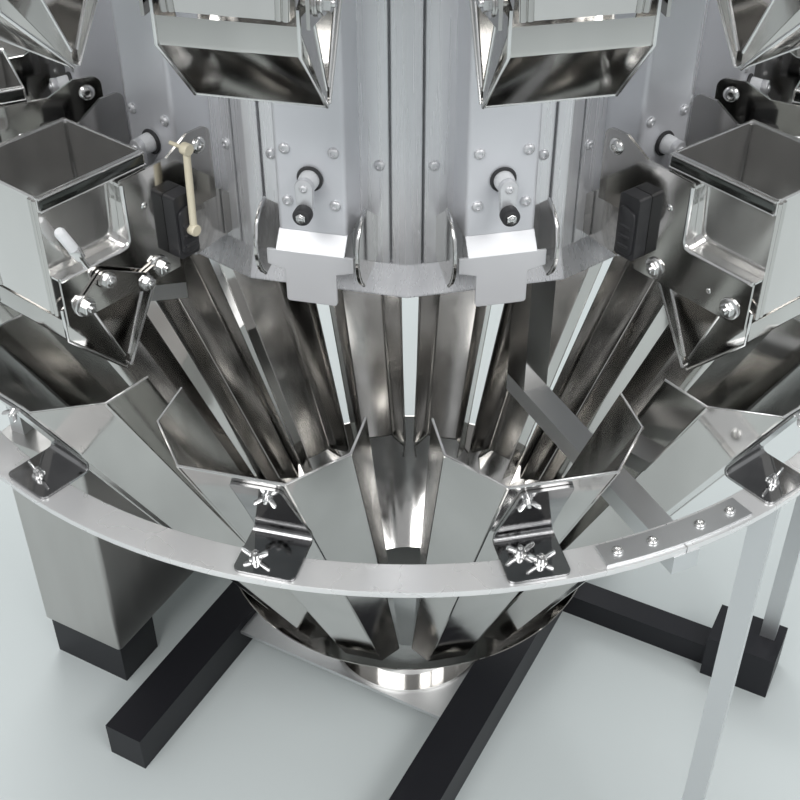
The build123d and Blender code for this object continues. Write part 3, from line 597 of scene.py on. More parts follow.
@dataclass
class DriveTrim:
    """Screws, seals and cranks on the drive panels, and the bright edges of the hanger ears."""

    panel_face: float = 352.0
    cover_face: float = 311.0
    shaft_height: float = RING_TOP + 265
    screw_side: float = 20.5
    screw_heights: Pair = (RING_TOP + 242.5, RING_TOP + 289.5)
    cover_screw: Pair = (47.5, RING_TOP + 262)
    crank_length: float = 21.0
    crank_ends: Pair = (7.8, 6.4)
    arm_out: float = 13.0
    arm_thickness: float = 6.5
    roller_out: float = 19.4
    cap_out: float = 29.6
    seal_profile: Profile = ((8.4, 0), (10.6, 0), (11.3, 1.4), (10.6, 2.9), (9.2, 3.3), (8.4, 2.4))
    bush_profile: Profile = ((8.6, 1), (8.6, 5), (8.2, 9), (7.7, 13), (7.0, 13.4))
    roller_profile: Profile = ((6.2, 0), (7.8, 1.2), (7.8, 8.4), (7.0, 10), (5.2, 10.6), (4.4, 10.2))
    cap_profile: Profile = ((4.6, 0), (4.6, 1.6), (3.9, 2.2), (2.6, 2.3))
    stud_profile: Profile = ((2.4, 2.2), (2.4, 3.0), (1.2, 3.6))
    ear_side: float = 44.0
    ear_edge: Profile = (
        (345, RING_TOP + 238), (360.4, RING_TOP + 233.5), (370.6, RING_TOP + 224), (374, RING_TOP + 212),
        (373.4, RING_TOP + 199), (369.6, RING_TOP + 188), (364, RING_TOP + 179), (356, RING_TOP + 171))
    fasteners: Fasteners = field(default_factory=Fasteners)

    def on_shaft(self, shape: Surface, out: float = 0.0, down: float = 0.0) -> Surface:
        """Turn a shape outwards and set it on the shaft's line, further out or lower where asked."""
        return shape.moved(axes_for(OUTWARDS), (self.panel_face + out, 0, self.shaft_height - down))

    def screws(self) -> Surface:
        """Four button heads round each shaft and one at each side of each cover."""
        head = self.fasteners.button(4.9).moved(axes_for(OUTWARDS), (0, 0, 0))
        spots = [(self.panel_face, side * self.screw_side, z) for side in SIDES for z in self.screw_heights]
        spots += [(self.cover_face, side * self.cover_screw[0], self.cover_screw[1]) for side in SIDES]
        return on_heads(joined([head.at(*spot) for spot in spots]), range(HEADS), LIFTS)

    def seal(self) -> Surface:
        """A black ring round each shaft: a small rounded section turned round the shaft."""
        return self.on_shaft(lathe(self.seal_profile, 28))

    def bush(self) -> Surface:
        """The pale tapered bush that the crank sits on."""
        return self.on_shaft(lathe(self.bush_profile, 24))

    def arm(self) -> Surface:
        """The crank arm: a tapered plate with round ends, and its clamp screw."""
        a = np.linspace(0, np.pi, 12)
        wide, slim = self.crank_ends
        upper = np.stack([wide * np.cos(a), wide * np.sin(a)], axis=-1)
        lower = np.stack([-slim * np.cos(a), -self.crank_length - slim * np.sin(a)], axis=-1)
        arm = plate(np.concatenate([upper, lower]), self.arm_thickness, 1.2)
        face = np.array([[0, 1, 0], [0, 0, 1], [1, 0, 0]])
        arm = arm.moved(face, (self.panel_face + self.arm_out, 0, self.shaft_height))
        socket = self.on_shaft(self.fasteners.button(3.6), self.arm_out + self.arm_thickness - 0.2)
        return joined([arm, socket])

    def roller(self) -> Surface:
        """The black roller at the crank's end, with a rounded rim."""
        return self.on_shaft(lathe(self.roller_profile, 24), self.roller_out, self.crank_length)

    def cap(self) -> Surface:
        """The bright hexagon end that keeps the roller on."""
        cap = joined([lathe(self.cap_profile, 6), lathe(self.stud_profile, 12)])
        return self.on_shaft(cap, self.cap_out, self.crank_length)

    def ear_edges(self) -> Surface:
        """Rounded bright edges along the curved side of both hanger ears."""
        beads = []
        for side in SIDES:
            path = np.array([(r - 0.5, side * self.ear_side, z) for r, z in self.ear_edge])
            beads.append(bead(1.7, path, up=SIDEWAYS))
        return on_heads(joined(beads), range(HEADS), LIFTS)

    def build(self) -> None:
        """Add the trims of every drive, those of the two bare cranks on their own bodies."""
        add_piece("drive_screws", self.screws(), SOFT)
        add_piece("shaft_rings", on_heads(self.seal(), range(HEADS), LIFTS), RUBBER)
        add_piece("ear_edges", self.ear_edges(), BRIGHT)
        groups = {"fixed": ("frame", HOPPER_PLACES, ("weigh_cranks", "feed_cranks")),
                  "right": ("right_crank", [(0, 0.0)], ("crank_right",)),
                  "left": ("left_crank", [(HEADS - 1, 0.0)], ("crank_left",))}
        parts = (("bush", self.bush(), PALE), ("arm", self.arm(), SOFT), ("roller", self.roller(), RUBBER),
                 ("cap", self.cap(), BRIGHT))
        for label, (body, places, nodes) in groups.items():
            for part, shape, finish in parts:
                made = add_piece(f"crank_{part}_{label}", placed(shape, places), finish, body)
                if part == "arm":
                    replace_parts(made, *nodes)


@dataclass
class HopperTrim:
    """Hems, folds, rims, pins, nuts and rivets of the hoppers, in head space at weigh height."""

    back: float = 402.0
    front: float = 506.0
    top: float = RING_TOP + 290
    bottom: float = RING_TOP + 180
    top_half: float = 48.0
    bottom_half: float = 42.5
    taper: float = 3.0
    rim_height: float = 12.0
    pivot_height: float = RING_TOP + 188
    back_pivot: float = 407.0
    front_pivot: float = 487.0
    plate_side: float = 56.0
    lever_side: float = 59.6
    tip_height: float = RING_TOP + 102
    tip_radii: Pair = (446.5, 451.5)
    door_half: float = 48.5
    door_flange: float = 13.0
    fold_height: float = RING_TOP + 158
    leg_edge: float = 433.0
    foot_edge: float = RING_TOP + 219
    foot_front: float = 504.0
    rivet_spots: tuple[Triple, ...] = (
        (413, RING_TOP + 247, 3.4), (464, RING_TOP + 193, 2.8), (404, RING_TOP + 262, 1.6),
        (410, RING_TOP + 264, 1.6), (349, RING_TOP + 277, 7.5))
    link_pins: Profile = ((427.0, RING_TOP + 183), (465.0, RING_TOP + 204))
    link_face: float = 63.1
    collar_profile: Profile = ((9.4, 0), (9.4, 1.2), (8.6, 1.7), (4.2, 1.7))
    link_washer: Profile = ((7.0, 0), (7.0, 1.2), (5, 1.2))
    link_hexagon: Profile = ((5.8, 1.2), (5.8, 4.6), (5.0, 5.2), (2.6, 5.3))
    link_stud: Profile = ((2.6, 5.2), (2.6, 6.6), (1.2, 7.2))
    fold_bump: Pair = (2.2, 1.5)
    fold_offset: float = 2.4
    fasteners: Fasteners = field(default_factory=Fasteners)

    def half_width(self, height: np.ndarray | float) -> np.ndarray | float:
        """Half the hopper's outside width at a height: it narrows evenly from top to bottom."""
        share = (self.top - height) / (self.top - self.bottom)
        return self.top_half + (self.bottom_half - self.top_half) * share

    def hem(self) -> Surface:
        """The rolled edge round the mouth."""
        outline = rounded([(self.back, -self.top_half), (self.front, -self.top_half),
                           (self.front, self.top_half), (self.back, self.top_half)], 3, 4)
        path = np.column_stack([inset(outline, 0.6), np.full(len(outline), self.top - 0.9)])
        return bead(1.2, path, closed=True)

    def rims(self) -> Surface:
        """The dark channel along each side's top: a slim plate whose front end is rounded."""
        low = self.top - self.rim_height + 0.5
        outline = rounded([(self.back + 1, low), (self.front - 1, low), (self.front - 1, self.top - 2.5),
                           (self.back + 1, self.top - 2.5)], [1, 6, 2, 1], 5)
        channel = plate(outline, 1.4, 0.5)
        unit = []
        for side in SIDES:
            unit.append(channel.moved(standing(side), (0, side * (self.top_half + 1.9), 0)))
        return joined(unit)

    def rim_beads(self) -> Surface:
        """Bright rolled edges above and below the dark channel."""
        beads = []
        for side in SIDES:
            y = side * (self.top_half + 2.6)
            for z in (self.top - 1.2, self.top - self.rim_height + 0.4):
                path = np.array([(self.back, y, z), (self.front - 5, y, z), (self.front - 1, y, z)])
                beads.append(bead(1.1, path))
        return joined(beads)

    def down_corners(self, section: np.ndarray, depth: float, margin: float, drop: float,
                     rise: float) -> Surface:
        """Carry a section down the hopper's four corners, leaning in with the walls.

        Args:
            section: the section's points, its y facing outwards.
            depth: how far inside the outer face the line lies.
            margin: its distance from the side wall's outer face.
            drop: how far below the mouth it starts.
            rise: how far above the foot it ends.
        Returns:
            The four strips.
        """
        levels = ((0.0, self.top_half, self.top - drop), (self.taper, self.bottom_half, self.bottom + rise))
        strips = []
        for end, sign in ((self.front, 1), (self.back, -1)):
            for side in SIDES:
                path = np.array([(end - sign * (depth + lean), side * (half - margin), z)
                                 for lean, half, z in levels])
                strips.append(sweep(section, path, up=(sign, 0, 0)))
        return joined(strips)

    def folds(self) -> Surface:
        """The double folds down the corners of the front and back walls: two round ribs side by side."""
        a = np.linspace(np.pi, 0, 7)
        half, height = self.fold_bump
        bumps = [np.stack([middle + half * np.cos(a), height * np.sin(a)], axis=-1)
                 for middle in (-self.fold_offset, self.fold_offset)]
        section = np.concatenate([*bumps, [(4.6, -0.4), (-4.6, -0.4)]])
        return self.down_corners(section, depth=-0.1, margin=5.0, drop=3, rise=0)

    def seams(self) -> Surface:
        """Weld seams down the four inner corners: slim beads that lean in with the walls."""
        return self.down_corners(circle(1.6, BEAD_STEPS), depth=2.4, margin=2.4, drop=2, rise=2)

    def plate_hem(self) -> Surface:
        """The turned edge of the L-shaped side plates: a bead outside, a flange in to the wall."""
        run = dense([(self.leg_edge, self.top - self.rim_height - 4), (self.leg_edge, self.foot_edge),
                     (self.foot_front, self.foot_edge)], [0, 8, 0], 6)
        along = directions(np.gradient(run, axis=0))
        inward = 1.6 * np.stack([along[:, 1], np.zeros(len(run)), -along[:, 0]], axis=-1)
        x, z = run.T
        made = []
        for side in SIDES:
            outer = np.column_stack([x, np.full(len(run), side * (self.plate_side - 0.4)), z])
            inner = np.column_stack([x, side * (self.half_width(z) + 0.2), z])
            line = np.column_stack([x - 0.2, np.full(len(run), side * (self.plate_side + 0.2)), z - 0.2])
            made += [ribbon(outer, inner, inward), bead(1.9, line, up=SIDEWAYS)]
        return joined(made)

    def rivets(self) -> Surface:
        """Flat rivets on both side plates and the large eye at the hook's end."""
        out = []
        for side in SIDES:
            axes = axes_for((0, side, 0), OUTWARDS)
            y = side * (self.plate_side - 1.1)
            out += [self.fasteners.button(r).moved(axes, (x, y, z)) for x, z, r in self.rivet_spots]
        return joined(out)

    def nuts(self, place: float, side: int) -> Surface:
        """Washer, nut and bolt end on one end of a door pin.

        Args:
            place: the pin's distance from the machine's axis.
            side: 1 for the end that carries the lever, -1 for the other.
        Returns:
            The fasteners.
        """
        stand = self.lever_side if side > 0 else self.plate_side + 0.2
        axes = axes_for((0, side, 0), OUTWARDS)
        nut = self.fasteners.hexagon().moved(axes, (place, side * stand, self.pivot_height))
        collar = lathe(self.collar_profile, 24)
        return joined([nut, collar.moved(axes, (place, side * (self.plate_side + 0.1), self.pivot_height))])

    def pin_nuts(self, place: float) -> list[Surface]:
        """The fasteners on both ends of a door pin."""
        return [self.nuts(place, 1), self.nuts(place, -1)]

    def door_hem(self, is_front: bool) -> Surface:
        """The beads along a door's side flanges, above and below, and along its tip.

        Args:
            is_front: whether it is the outer door.
        Returns:
            The beads.
        """
        inward = -1 if is_front else 1
        edge = self.front - self.taper if is_front else self.back + self.taper
        pivot = self.front_pivot if is_front else self.back_pivot
        tip = self.tip_radii[1] if is_front else self.tip_radii[0]
        upper = [(pivot + inward * 8, self.pivot_height - 4), (tip, self.tip_height + self.door_flange)]
        corner = self.fold_height if is_front else self.bottom - 5
        lower = [(edge, self.pivot_height), (edge, corner), (tip, self.tip_height + 0.8)]
        beads = []
        for side in SIDES:
            for run in (upper, lower):
                path = np.array([(r, side * (self.door_half - 0.3), z) for r, z in run])
                beads.append(bead(1.5, path, up=SIDEWAYS))
        low = np.array([(tip, y, self.tip_height + 1.4) for y in (-self.door_half, self.door_half)])
        beads.append(bead(1.5, low))
        return joined(beads)

    def belly(self) -> Surface:
        """The front door's lower fold: a wedge that carries the wall on down before it turns to the tip."""
        edge = self.front - self.taper
        outline = rounded([(edge, self.bottom - 3), (edge, self.fold_height),
                           (self.tip_radii[1], self.tip_height + 0.3)], [0, 4, 0], 5)
        return plate(outline, 2 * self.door_half, 0.5).moved(standing(), (0, -self.door_half, 0))

    def link_nut(self, place: Pair) -> Surface:
        """The nut on one pin of the link bar: hexagon and domed end over a washer.

        Args:
            place: the pin's radius and height.
        Returns:
            The nut.
        """
        nut = joined([lathe(self.link_washer, 20), lathe(self.link_hexagon, 6), lathe(self.link_stud, 12)])
        return nut.moved(axes_for(SIDEWAYS, OUTWARDS), (place[0], self.link_face, place[1]))

    def build(self) -> None:
        """Add the trims, fixed ones together and moving ones on their doors."""
        trims = (("hopper_hems", self.hem(), BRIGHT), ("hopper_folds", self.folds(), MIRROR),
                 ("hopper_seams", self.seams(), BRIGHT), ("hopper_rims", self.rims(), DARK_STEEL),
                 ("rim_beads", self.rim_beads(), BRIGHT), ("bracket_hems", self.plate_hem(), BRIGHT),
                 ("rivets", self.rivets(), BRIGHT))
        for name, shape, finish in trims:
            add_piece(name, placed(shape, HOPPER_PLACES), finish)
        moving = [(side.value, 0.0) for side in Side]
        fixed = [place for place in HOPPER_PLACES if place not in moving]
        back_pin, front_pin = (self.link_nut(pin) for pin in self.link_pins)
        belly = self.belly()
        door = {"back": joined([*self.pin_nuts(self.back_pivot), self.door_hem(False), back_pin]),
                "front": joined([*self.pin_nuts(self.front_pivot), self.door_hem(True)])}
        add_piece("door_folds_fixed", placed(belly, fixed), MIRROR)
        for word, shape in (*door.items(), ("link", front_pin)):
            add_piece(f"{word}_trims_fixed", placed(shape, fixed), BRIGHT)
        for side in Side:
            label = side.name.lower()
            for word, shape in door.items():
                surface = on_head(shape, side.value)
                add_piece(f"{word}_door_trims_{label}", surface, BRIGHT, f"{label}_{word}_door")
            add_piece(f"link_trims_{label}", on_head(front_pin, side.value), BRIGHT, f"{label}_link")
            add_piece(f"door_fold_{label}", on_head(belly, side.value), MIRROR, f"{label}_front_door")


@dataclass
class LatchTrim:
    """Levers and ribs on the moulded latch blocks, and the left hopper's cream rod and stop."""

    block_face: float = 70.3
    block_range: Pair = (372.0, 394.0)
    block_heights: Pair = (RING_TOP + 192, RING_TOP + 250)
    plate_face: float = 56.0
    rod_foot: Triple = (381, 76, RING_TOP + 218)
    rod_head: Triple = (378, 75, RING_TOP + 290)
    stop_foot: Triple = (478, 57, RING_TOP + 220)
    stop_knee: Triple = (487, 57.5, RING_TOP + 240)
    stop_head: Triple = (498, 58, RING_TOP + 262)

    def lever(self) -> Surface:
        """A rounded lever plate with three finger ribs on the outer face of each block."""
        low, high = self.block_range
        foot, top = self.block_heights
        outline = rounded([(low + 2, foot + 4), (high - 2, foot + 4), (high - 2, top - 14),
                           (low + 2, top - 8)], 5, 5)
        lever = plate(outline, 2.6, 0.9)
        unit = []
        for side in SIDES:
            unit.append(lever.moved(standing(side), (0, side * (self.block_face - 0.3), 0)))
            y = side * (self.block_face + 2.4)
            for step in range(3):
                z = foot + 12 + 9 * step
                unit.append(bead(1.4, np.array([(low + 5, y, z), (high - 5, y, z)])))
        return joined(unit)

    def rod(self) -> Surface:
        """The rod with two round end blocks, and a pin from each to what holds it."""
        foot, head = np.array(self.rod_foot), np.array(self.rod_head)
        made = [sweep(circle(3.2, 12), np.stack([foot, head]), up=SIDEWAYS)]
        end = lathe([(4.6, -4), (5.2, -3), (5.2, 3), (4.6, 4)], 14)
        for place, start in ((foot, self.block_face), (head, self.plate_face)):
            made.append(end.moved(axes_for(SIDEWAYS, UPWARDS), place))
            made.append(sweep(circle(1.8, 10), np.array([(place[0], start, place[2]), place])))
        return joined(made)

    def stop(self) -> Surface:
        """A short pale bush at the end of a pin beside the front lever."""
        knee, way = np.array(self.stop_knee), np.array(self.stop_head) - np.array(self.stop_knee)
        length = float(np.linalg.norm(way))
        return lathe([(4.6, 0), (4.6, length - 2), (3.4, length)], 16).moved(axes_for(way), knee)

    def stop_pin(self) -> Surface:
        """The pin and its collar that carry the pale bush."""
        foot, way = np.array(self.stop_foot), np.array(self.stop_knee) - np.array(self.stop_foot)
        length = float(np.linalg.norm(way))
        profile = [(2.6, 0), (2.6, length * 0.55), (5.2, length * 0.6), (5.4, length + 1),
                   (4.4, length + 2.5)]
        return lathe(profile, 16).moved(axes_for(way), foot)

    def build(self) -> None:
        """Add the levers on every block, and the rod and stop on the left hopper."""
        add_piece("latch_levers", on_heads(self.lever(), range(1, HEADS - 1)), MOULDED)
        add_piece("cream_rod_left", on_head(self.rod(), Side.LEFT.value), CREAM)
        add_piece("pale_stop_left", on_head(self.stop(), Side.LEFT.value), PALE)
        add_piece("stop_pin_left", on_head(self.stop_pin(), Side.LEFT.value), BRIGHT)


@dataclass
class ChuteTrim:
    """The chutes' mouth hems and folds, and their bent brackets with wing screws."""

    top: float = RING_TOP + 110
    bottom: float = RING_TOP - 470
    mouth: Profile = ((456, 82), (503, 83), (550, 45))
    foot: Profile = ((182, 34), (204, 40), (228, 24))
    heads: tuple[float, ...] = (*range(HEADS - 1), HEADS - 1 - 1.2 / PITCH)
    bracket_shifts: Pair = (-10.0, 17.0)
    tab_top: float = RING_TOP + 99
    tab_screw_height: float = RING_TOP + 84
    seat_end: float = 547.5
    seat_half: float = 27.0
    sheet: float = 2.4
    bend_radius: float = 7
    wing_scales: Pair = (0.8, 0.62)
    fasteners: Fasteners = field(default_factory=Fasteners)

    def hem(self) -> Surface:
        """A thin bead along the mouth's edge, over the sheet's middle."""
        points = [(r, -t) for r, t in self.mouth] + [(r, t) for r, t in reversed(self.mouth)]
        path = np.array([(r - 1, t * (1 - 1 / abs(t)), self.top - 0.7) for r, t in points])
        return bead(1.15, path)

    def folds(self) -> Surface:
        """Slim beads along the four bends, straight from the mouth to the foot."""
        beads = []
        for mouth, foot in list(zip(self.mouth, self.foot))[1:]:
            for side in SIDES:
                path = np.array([(mouth[0] - 1.0, side * (mouth[1] - 1.0), self.top - 1),
                                 (foot[0] - 1.0, side * (foot[1] - 1.0), self.bottom + 1)])
                beads.append(bead(1.5, path))
        return joined(beads)

    def face(self, height: float) -> float:
        """Radius of a chute's outer face at a height: it leans in evenly towards the foot."""
        lean = self.mouth[2][0] - self.foot[2][0]
        return self.mouth[2][0] - (self.top - height) * lean / (self.top - self.bottom)

    def bracket(self) -> Surface:
        """One bent strip: a tab up the chute's face, a round bend and a wider seat on the ring."""
        high = self.tab_top
        path = dense([(self.face(high) + 0.4, high), (self.face(RING_TOP) + 0.4, RING_TOP + 0.2),
                      (self.seat_end, RING_TOP + 0.2)], [0, self.bend_radius, 0], 1.2)
        bent = strip(path, self.sheet, self.seat_half, 6.0)
        share = np.clip((bent.points[:, 2] - RING_TOP - 3) / (high - RING_TOP - 3), 0, 1)
        bent.points[:, 1] *= 1 - 0.2 * np.sqrt(share)
        return bent

    def seat_screw(self) -> Surface:
        """The wing screw that stands on a bracket's seat, its wings spread along the ring."""
        return self.fasteners.wing().moved(QUARTER_TURN * self.wing_scales[0], (0, 0, RING_TOP + 2.5))

    def tab_screw(self) -> Surface:
        """The wing screw that holds a bracket's tab to the chute's face."""
        slope = (self.mouth[2][0] - self.foot[2][0]) / (self.top - self.bottom)
        z = self.tab_screw_height
        out = QUARTER_TURN @ axes_for((1.0, 0.0, -slope)) * self.wing_scales[1]
        return self.fasteners.wing().moved(out, (self.face(z) + 2.6, 0, z))

    def build(self) -> None:
        """Add the trims on all chutes; the front pair's brackets and screws stand a little to one side."""
        add_piece("chute_hems", on_heads(self.hem(), self.heads), BRIGHT)
        add_piece("chute_folds", on_heads(self.folds(), self.heads), MIRROR)
        right, left = self.bracket_shifts
        plain = [(0.0, ((530.0, -2.0),), 0.0)] * (HEADS - 2)
        rows = [(right, ((530.0, 5.0), (517.0, -9.0)), -14.0), *plain, (left, ((531.0, -12.0),), 7.0)]
        brackets, screws = [], []
        for head, (shift, seats, tab) in zip(self.heads, rows):
            brackets.append(on_head(self.bracket().at(0, shift, 0), head))
            screws += [on_head(self.seat_screw().at(r, shift + t, 0), head) for r, t in seats]
            screws.append(on_head(self.tab_screw().at(0, shift + tab, 0), head))
        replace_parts(add_piece("bent_brackets", joined(brackets), PAINTED_SHADE_MIRROR), "chute_brackets")
        add_piece("wing_screws", joined(screws), BRIGHT)


@dataclass
class RingTrim:
    """Screws on the ring's two splices."""

    middle: float = 535.0
    angles: tuple[float, ...] = (-6.2, -2.6, 2.6, 6.2)
    splices: tuple[int, ...] = (1, 8)
    splice_face: float = RING_TOP + 2.4
    screw_radius: float = 5.4
    fasteners: Fasteners = field(default_factory=Fasteners)

    def build(self) -> None:
        """Add four button heads on each splice plate."""
        head = self.fasteners.button(self.screw_radius)
        screws = []
        for splice in self.splices:
            for angle in self.angles:
                a = math.radians(-90 + splice * PITCH + angle)
                screws.append(head.at(self.middle * math.cos(a), self.middle * math.sin(a), self.splice_face))
        add_piece("splice_screws", joined(screws), BRIGHT)


@dataclass
class FeederTrim:
    """Lips on the feeder pans, bolts of the vibrators and ribs of the top cone."""

    pan_floor: float = RING_TOP + 628
    pan_wall: float = 46.0
    pan_inner: float = 150.0
    pan_outer: float = 452.0
    inner_half: float = 26.0
    outer_half: float = 60.0
    vibrator: Triple = (236.0, 312.0, 28.0)
    deck: float = RING_TOP + 585
    cone_radius: float = 206.0
    cone_edge: float = RING_TOP + 690
    cone_tip: float = RING_TOP + 760
    fasteners: Fasteners = field(default_factory=Fasteners)

    def lips(self) -> Surface:
        """Rolled edges along both walls of each pan."""
        rim = self.pan_floor + self.pan_wall - 0.8
        ends = ((self.pan_inner + 1, self.inner_half - 1.2), (self.pan_outer - 1, self.outer_half - 1.2))
        return joined([bead(1.8, np.array([(r, side * half, rim) for r, half in ends])) for side in SIDES])

    def bolts(self) -> Surface:
        """Leaf-spring plates on both ends of each vibrator, with a button head in each corner."""
        back, front, half = self.vibrator
        low, high = self.deck + 4, self.pan_floor - 4
        outline = rounded([(-half + 4, low), (half - 4, low), (half - 4, high), (-half + 4, high)], 3, 4)
        unit = []
        for x, sign in ((front, 1), (back, -1)):
            axes = np.array([[0, 1, 0], [0, 0, 1], [sign, 0, 0]])
            unit.append(plate(outline, 2.0, 0.5).moved(axes, (x, 0, 0)))
            unit += [self.fasteners.button(3.2).moved(axes_for((sign, 0, 0)), (x + sign * 1.9, y, z))
                     for y in (-half + 10, half - 10) for z in (low + 6, high - 6)]
        return joined(unit)

    def ribs(self) -> Surface:
        """Low ridges that run from near the cone's tip to its edge."""
        beads = []
        slope = (self.cone_tip - self.cone_edge) / self.cone_radius
        for head in range(HEADS):
            a = math.radians(head * PITCH)
            run = np.linspace(40, self.cone_radius - 6, 12)
            path = np.column_stack([run * math.cos(a), run * math.sin(a), self.cone_tip - slope * run - 0.6])
            beads.append(bead(2.2, path))
        return joined(beads)

    def build(self) -> None:
        """Add the trims on the top deck."""
        add_piece("pan_lips", on_heads(self.lips(), range(HEADS)), BRIGHT)
        add_piece("vibrator_springs", on_heads(self.bolts(), range(HEADS)), SATIN)
        add_piece("cone_ribs", self.ribs(), CONE_STEEL)


class CarriedNodes:
    """The CAD nodes that show, each with its finish."""

    finishes: dict[str, Finish] = {
        "polished_steel": MIRROR, "satin_steel": SATIN, "blasted_steel": BODY_WITH_PAINTED_SHEEN, "cast_aluminium": BLASTED,
        "dark_steel": DARK_STEEL, "pale_seal": RUBBER, "black_plastic": MOULDED, "black_paint": BLACK_PAINT,
    }
    special: dict[str, Finish] = {
        "ring_half_left": RING_STEEL, "ring_half_right": RING_STEEL, "ring_splices": SATIN,
        "support_arms": SATIN, "arm_uprights": MIRROR, "slim_posts": SATIN,
        "weigh_shell_right": SHEET, "weigh_shell_left": SHEET, "weigh_shells_other": SHEET,
        "feed_shells": SHEET, "floor_frame": BLACK_PAINT, "foot_blocks": BLACK_PAINT,
        "side_box": BOX_STEEL, "drive_boxes": BLASTED, "hanging_plates": PLATE, "flange_covers": BODY_WITH_PAINTED_SHEEN,
        "corner_columns": BODY_WITH_PAINTED_SHEEN, "pan_vibrators": CAST, "cone_hub": CAST, "top_cone": CONE_STEEL,
    }

    def build(self) -> None:
        """Give every carried node the finish of its slot, or its own."""
        slots = {row["node"]: row["material_slot"] for row in frame["record"]["subparts"]}
        for name, node in frame["nodes"].items():
            finish = self.special.get(name) or self.finishes[slots[name]]
            node.data.materials.clear()
            node.data.materials.append(finish.material())
        LOG.info("finished %d carried nodes", len(frame["nodes"]))


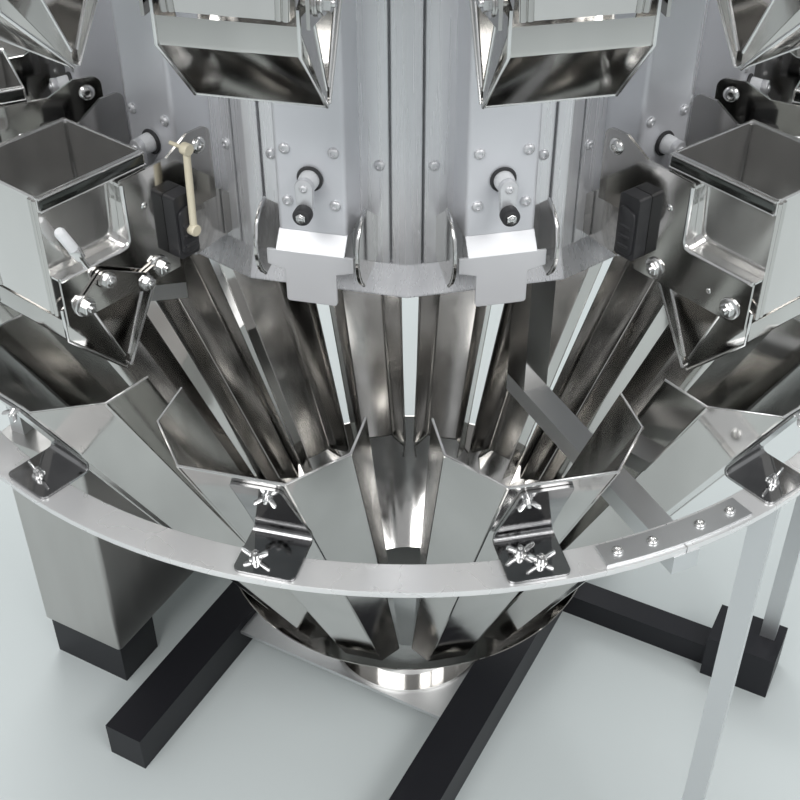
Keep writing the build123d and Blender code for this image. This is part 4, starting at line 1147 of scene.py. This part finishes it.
@dataclass
class Studio:
    """Floor, backdrop, lamps and the camera at the photograph's angle."""

    camera_place: Triple = (0.0079, -1.2243, RING_TOP * MM + 0.7183)
    pitch: float = 37.7
    yaw: float = -0.9
    roll: float = 0.21
    lens: float = 53.89
    floor_colour: Triple = (0.60, 0.645, 0.64)
    light_colour: Triple = (0.8, 0.82, 0.85)
    light_strength: float = 0.62
    lamps: tuple[tuple[str, Triple, Triple, Pair, float], ...] = (
        ("key", (-1.3, -2.3, 3.3), (0, 0, 0.9), (2.2, 1.2), 55),
        ("fill", (1.9, -2.1, 3.0), (0, 0, 0.9), (2.0, 1.2), 45),
        ("top", (0.2, 0.8, 3.8), (0, 0, 0.8), (2.8, 1.2), 50),
        ("back", (-0.6, 3.0, 2.4), (0, 0, 1.0), (2.0, 1.0), 30))
    back_colour: Triple = (0.52, 0.53, 0.54)

    def floor(self) -> None:
        """A wide floor that curves up into a backdrop behind: height grows with a quarter circle."""
        near, bend, radius, high = -6.0, 3.0, 1.5, 6.0
        turn = np.linspace(0.1, np.pi / 2, 14)
        side = np.linspace(-7, 7, 3)
        run = np.concatenate([[near, bend], bend + radius * np.sin(turn), [bend + radius]])
        rise = np.concatenate([[0.0, 0.0], radius - radius * np.cos(turn), [high]])
        x, y = np.meshgrid(side, run, indexing="ij")
        z = np.broadcast_to(rise, x.shape)
        surface = grid(np.stack([x, y, z], axis=-1) / MM)
        mesh = bpy.data.meshes.new("floor")
        mesh.from_pydata((surface.points * MM).tolist(), [], surface.quads[:, ::-1].tolist())
        mesh.polygons.foreach_set("use_smooth", np.ones(len(mesh.polygons), bool))
        material = bpy.data.materials.new("floor_paint")
        material.use_nodes = True
        tree = material.node_tree
        shader = tree.nodes["Principled BSDF"]
        cloud = noise(tree, tree.nodes.new("ShaderNodeTexCoord").outputs["Object"], 1.5)
        tree.links.new(ranged(tree, cloud.outputs["Fac"], 0.45, 0.55), shader.inputs["Roughness"])
        shader.inputs["Base Color"].default_value = (*self.floor_colour, 1)
        mesh.materials.append(material)
        floor = bpy.data.objects.new("floor", mesh)
        bpy.context.scene.collection.objects.link(floor)

    def lamp(self, name: str, place: Sequence[float], target: Sequence[float], size: Pair,
             power: float) -> None:
        """Add one soft area lamp.

        Args:
            name: its name.
            place: where it stands, in metres.
            target: what it points at.
            size: its width and height.
            power: its power in watts.
        """
        data = bpy.data.lights.new(name, "AREA")
        data.shape = "RECTANGLE"
        data.size, data.size_y = size
        data.energy = power
        lamp = bpy.data.objects.new(name, data)
        lamp.location = place
        lamp.rotation_mode = "QUATERNION"
        lamp.rotation_quaternion = (Vector(target) - Vector(place)).to_track_quat("-Z", "Y")
        bpy.context.scene.collection.objects.link(lamp)

    def world(self) -> None:
        """Even pale light, and a pale background for the camera and for mirrors."""
        world = bpy.data.worlds.new("studio")
        world.use_nodes = True
        tree = world.node_tree
        back = tree.nodes["Background"]
        back.inputs["Color"].default_value = (*self.light_colour, 1)
        back.inputs["Strength"].default_value = self.light_strength
        shown = tree.nodes.new("ShaderNodeBackground")
        shown.inputs["Color"].default_value = (*self.back_colour, 1)
        path = tree.nodes.new("ShaderNodeLightPath")
        seen = path.outputs["Is Camera Ray"]
        for ray in ("Is Glossy Ray", "Is Transmission Ray"):
            either = tree.nodes.new("ShaderNodeMath")
            either.operation = "MAXIMUM"
            tree.links.new(seen, either.inputs[0])
            tree.links.new(path.outputs[ray], either.inputs[1])
            seen = either.outputs["Value"]
        mix = tree.nodes.new("ShaderNodeMixShader")
        tree.links.new(seen, mix.inputs["Fac"])
        tree.links.new(back.outputs["Background"], mix.inputs[1])
        tree.links.new(shown.outputs["Background"], mix.inputs[2])
        tree.links.new(mix.outputs["Shader"], tree.nodes["World Output"].inputs["Surface"])
        bpy.context.scene.world = world

    def camera(self) -> None:
        """Set the camera as the photograph's was, from its fitted place, turn and lens."""
        pitch, yaw, roll = (math.radians(angle) for angle in (self.pitch, self.yaw, self.roll))
        ahead = Vector((math.sin(yaw) * math.cos(pitch), math.cos(yaw) * math.cos(pitch), -math.sin(pitch)))
        right = Vector((math.cos(yaw), -math.sin(yaw), 0))
        down = ahead.cross(right)
        across = right * math.cos(roll) + down * math.sin(roll)
        below = down * math.cos(roll) - right * math.sin(roll)
        data = bpy.data.cameras.new("camera")
        data.sensor_width = 36
        data.lens = self.lens
        camera = bpy.data.objects.new("camera", data)
        turn = Matrix((across, -below, -ahead)).transposed()
        camera.matrix_world = Matrix.Translation(self.camera_place) @ turn.to_4x4()
        bpy.context.scene.collection.objects.link(camera)
        bpy.context.scene.camera = camera

    def build(self) -> None:
        """Add floor, lamps, background and camera."""
        self.floor()
        for lamp in self.lamps:
            self.lamp(*lamp)
        self.world()
        self.camera()
        bpy.context.scene.view_settings.view_transform = "Standard"


def main() -> None:
    """Build the scene's pieces in order."""
    logging.basicConfig(level=logging.INFO, format="%(message)s")
    CarriedNodes().build()
    DriveTrim().build()
    HopperTrim().build()
    LatchTrim().build()
    ChuteTrim().build()
    RingTrim().build()
    FeederTrim().build()
    Studio().build()


if __name__ == "__main__":
    main()
